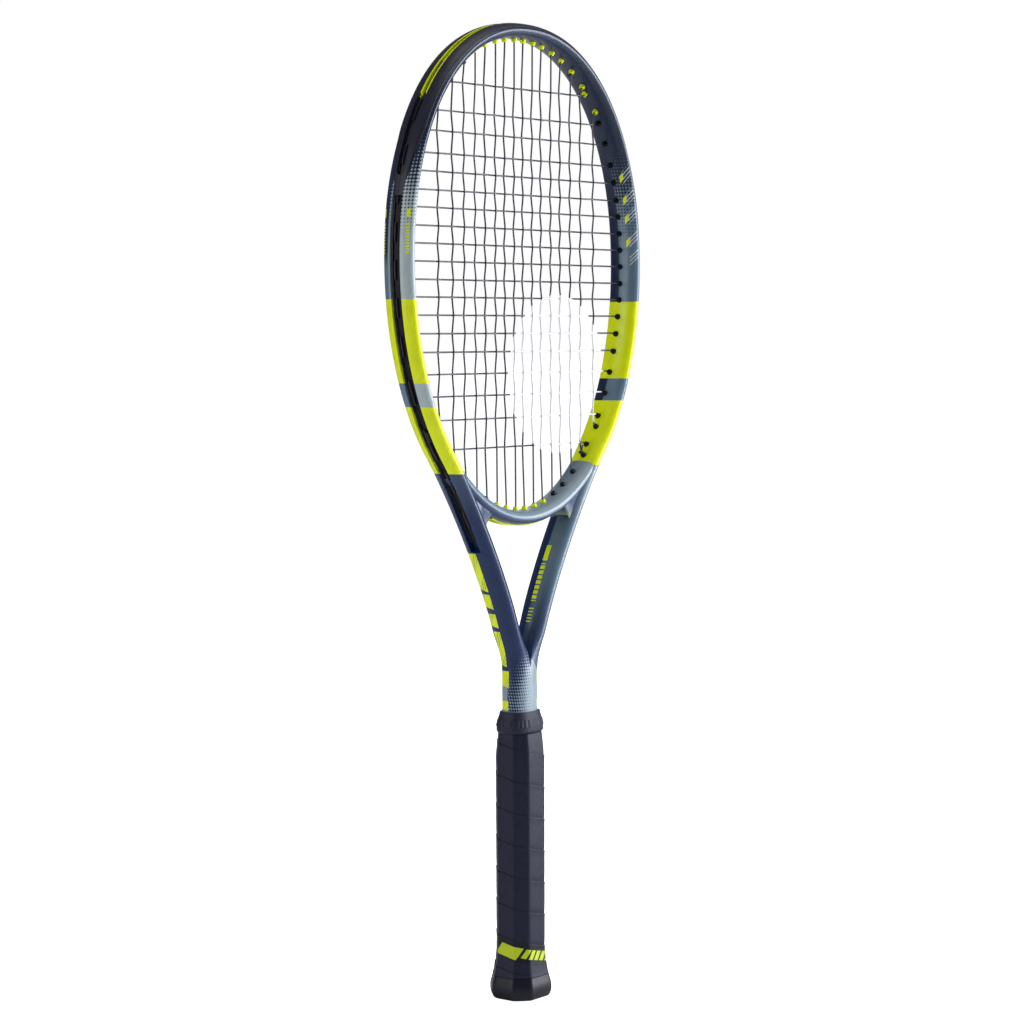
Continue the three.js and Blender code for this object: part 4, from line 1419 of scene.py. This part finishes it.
def hidden_nodes(plastic):
    """The nodes whose CAD shapes stay: foam pallets, the trap door and the staples."""
    pallet, staple = foam(), steel()
    looks = {"front_pallet": pallet, "back_pallet": pallet, "butt_cap_door": plastic}
    for name in ("front_left", "front_right", "back_left", "back_right"):
        looks["staple_" + name] = staple
    for name, material in looks.items():
        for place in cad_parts[name].material_slots:
            place.material = material


# ---- Camera, light and floor ----

CAMERA = {
    "turn": 52.0, "drop": 3.746, "roll": -0.204, "distance": 1914.977, "aim_z": 344.7, "aside": -5.044,
    "lens": 95.66,
}
# Each softbox: its place, its width and height, its power and its colour.
SOFTBOXES = {
    "Key_right": ((1.5, -1.7, 0.7), (1.1, 1.9), 82, (0.94, 0.96, 1)),
    "Fill_left": ((-2.2, 0.9, 0.8), (1.2, 1.9), 21, (1, 1, 1)),
    "Back_right": ((1.9, 1.7, 0.8), (1.2, 1.9), 6, (1, 1, 1)),
    "Top": ((0.2, -0.3, 2.4), (1.6, 1.6), 16, (1, 1, 1)),
}
SOFTBOX_AIM = (0, 0, 0.36)
FLOOR_HALF = 60.0


def camera():
    turn, drop, roll = (math.radians(CAMERA[k]) for k in ("turn", "drop", "roll"))
    back = Vector((-math.sin(turn) * math.cos(drop), -math.cos(turn) * math.cos(drop), math.sin(drop)))
    right = Vector((math.cos(turn), -math.sin(turn), 0))
    up = right.cross(-back)
    place = Vector((0, 0, CAMERA["aim_z"])) + right * CAMERA["aside"] + back * CAMERA["distance"]
    rolled_right = math.cos(roll) * right + math.sin(roll) * up
    rolled_up = -math.sin(roll) * right + math.cos(roll) * up
    data = bpy.data.cameras.new("Camera")
    data.lens = CAMERA["lens"]
    data.sensor_width = 36
    data.clip_start, data.clip_end = 0.05, 50
    made = add_object("Camera", data)
    turned = Matrix((rolled_right, rolled_up, back)).transposed().to_4x4()
    made.matrix_world = Matrix.Translation(place * MM) @ turned
    bpy.context.scene.camera = made


def softbox(name, place, size, power, colour):
    data = bpy.data.lights.new(name, "AREA")
    data.shape = "RECTANGLE"
    data.size, data.size_y = size
    data.energy = power
    data.color = colour
    made = add_object(name, data)
    made.location = place
    made.rotation_euler = (Vector(SOFTBOX_AIM) - Vector(place)).to_track_quat("-Z", "Y").to_euler()


def studio():
    """Softboxes round the racket, and a world that looks plain white but lights the racket only dimly."""
    for name, settings in SOFTBOXES.items():
        softbox(name, *settings)
    world = bpy.data.worlds.new("Studio")
    world.use_nodes = True
    nodes, links = world.node_tree.nodes, world.node_tree.links
    nodes.clear()
    output = nodes.new("ShaderNodeOutputWorld")
    mix = nodes.new("ShaderNodeMixShader")
    seen = nodes.new("ShaderNodeBackground")
    seen.inputs["Color"].default_value = (1, 1, 1, 1)
    ambient = nodes.new("ShaderNodeBackground")
    ambient.inputs["Color"].default_value = (0.88, 0.93, 1, 1)
    ambient.inputs["Strength"].default_value = 0.12
    path = nodes.new("ShaderNodeLightPath")
    links.new(path.outputs["Is Camera Ray"], mix.inputs[0])
    links.new(ambient.outputs[0], mix.inputs[1])
    links.new(seen.outputs[0], mix.inputs[2])
    links.new(mix.outputs[0], output.inputs[0])
    bpy.context.scene.world = world
    bpy.context.scene.view_settings.view_transform = "Standard"


def floor():
    """A plain pale floor, which glows only to the camera and so throws no light of its own on the racket."""
    mesh = bpy.data.meshes.new("Floor")
    corners = [(x * FLOOR_HALF, y * FLOOR_HALF, 0) for x, y in ((-1, -1), (1, -1), (1, 1), (-1, 1))]
    mesh.from_pydata(corners, [], [(0, 1, 2, 3)])
    s = Surface("Floor_paper", 0.9)
    s.colour(s.mix(s.noise(3), rgb(250, 250, 250), rgb(254, 254, 254)))
    s.shader.inputs["Emission Color"].default_value = (1, 1, 1, 1)
    path = s.add("ShaderNodeLightPath")
    s.tree.links.new(path.outputs["Is Camera Ray"], s.shader.inputs["Emission Strength"])
    mesh.materials.append(s.material)
    made = add_object("Floor", mesh)
    made.location = (0, 0, -0.0005)


camera()
studio()
floor()
frame_shell()
bridge_shell()
bumper_shell()
grommet_strips()
strings()
grip_wrap()
hidden_nodes(butt())
collar()
tape()
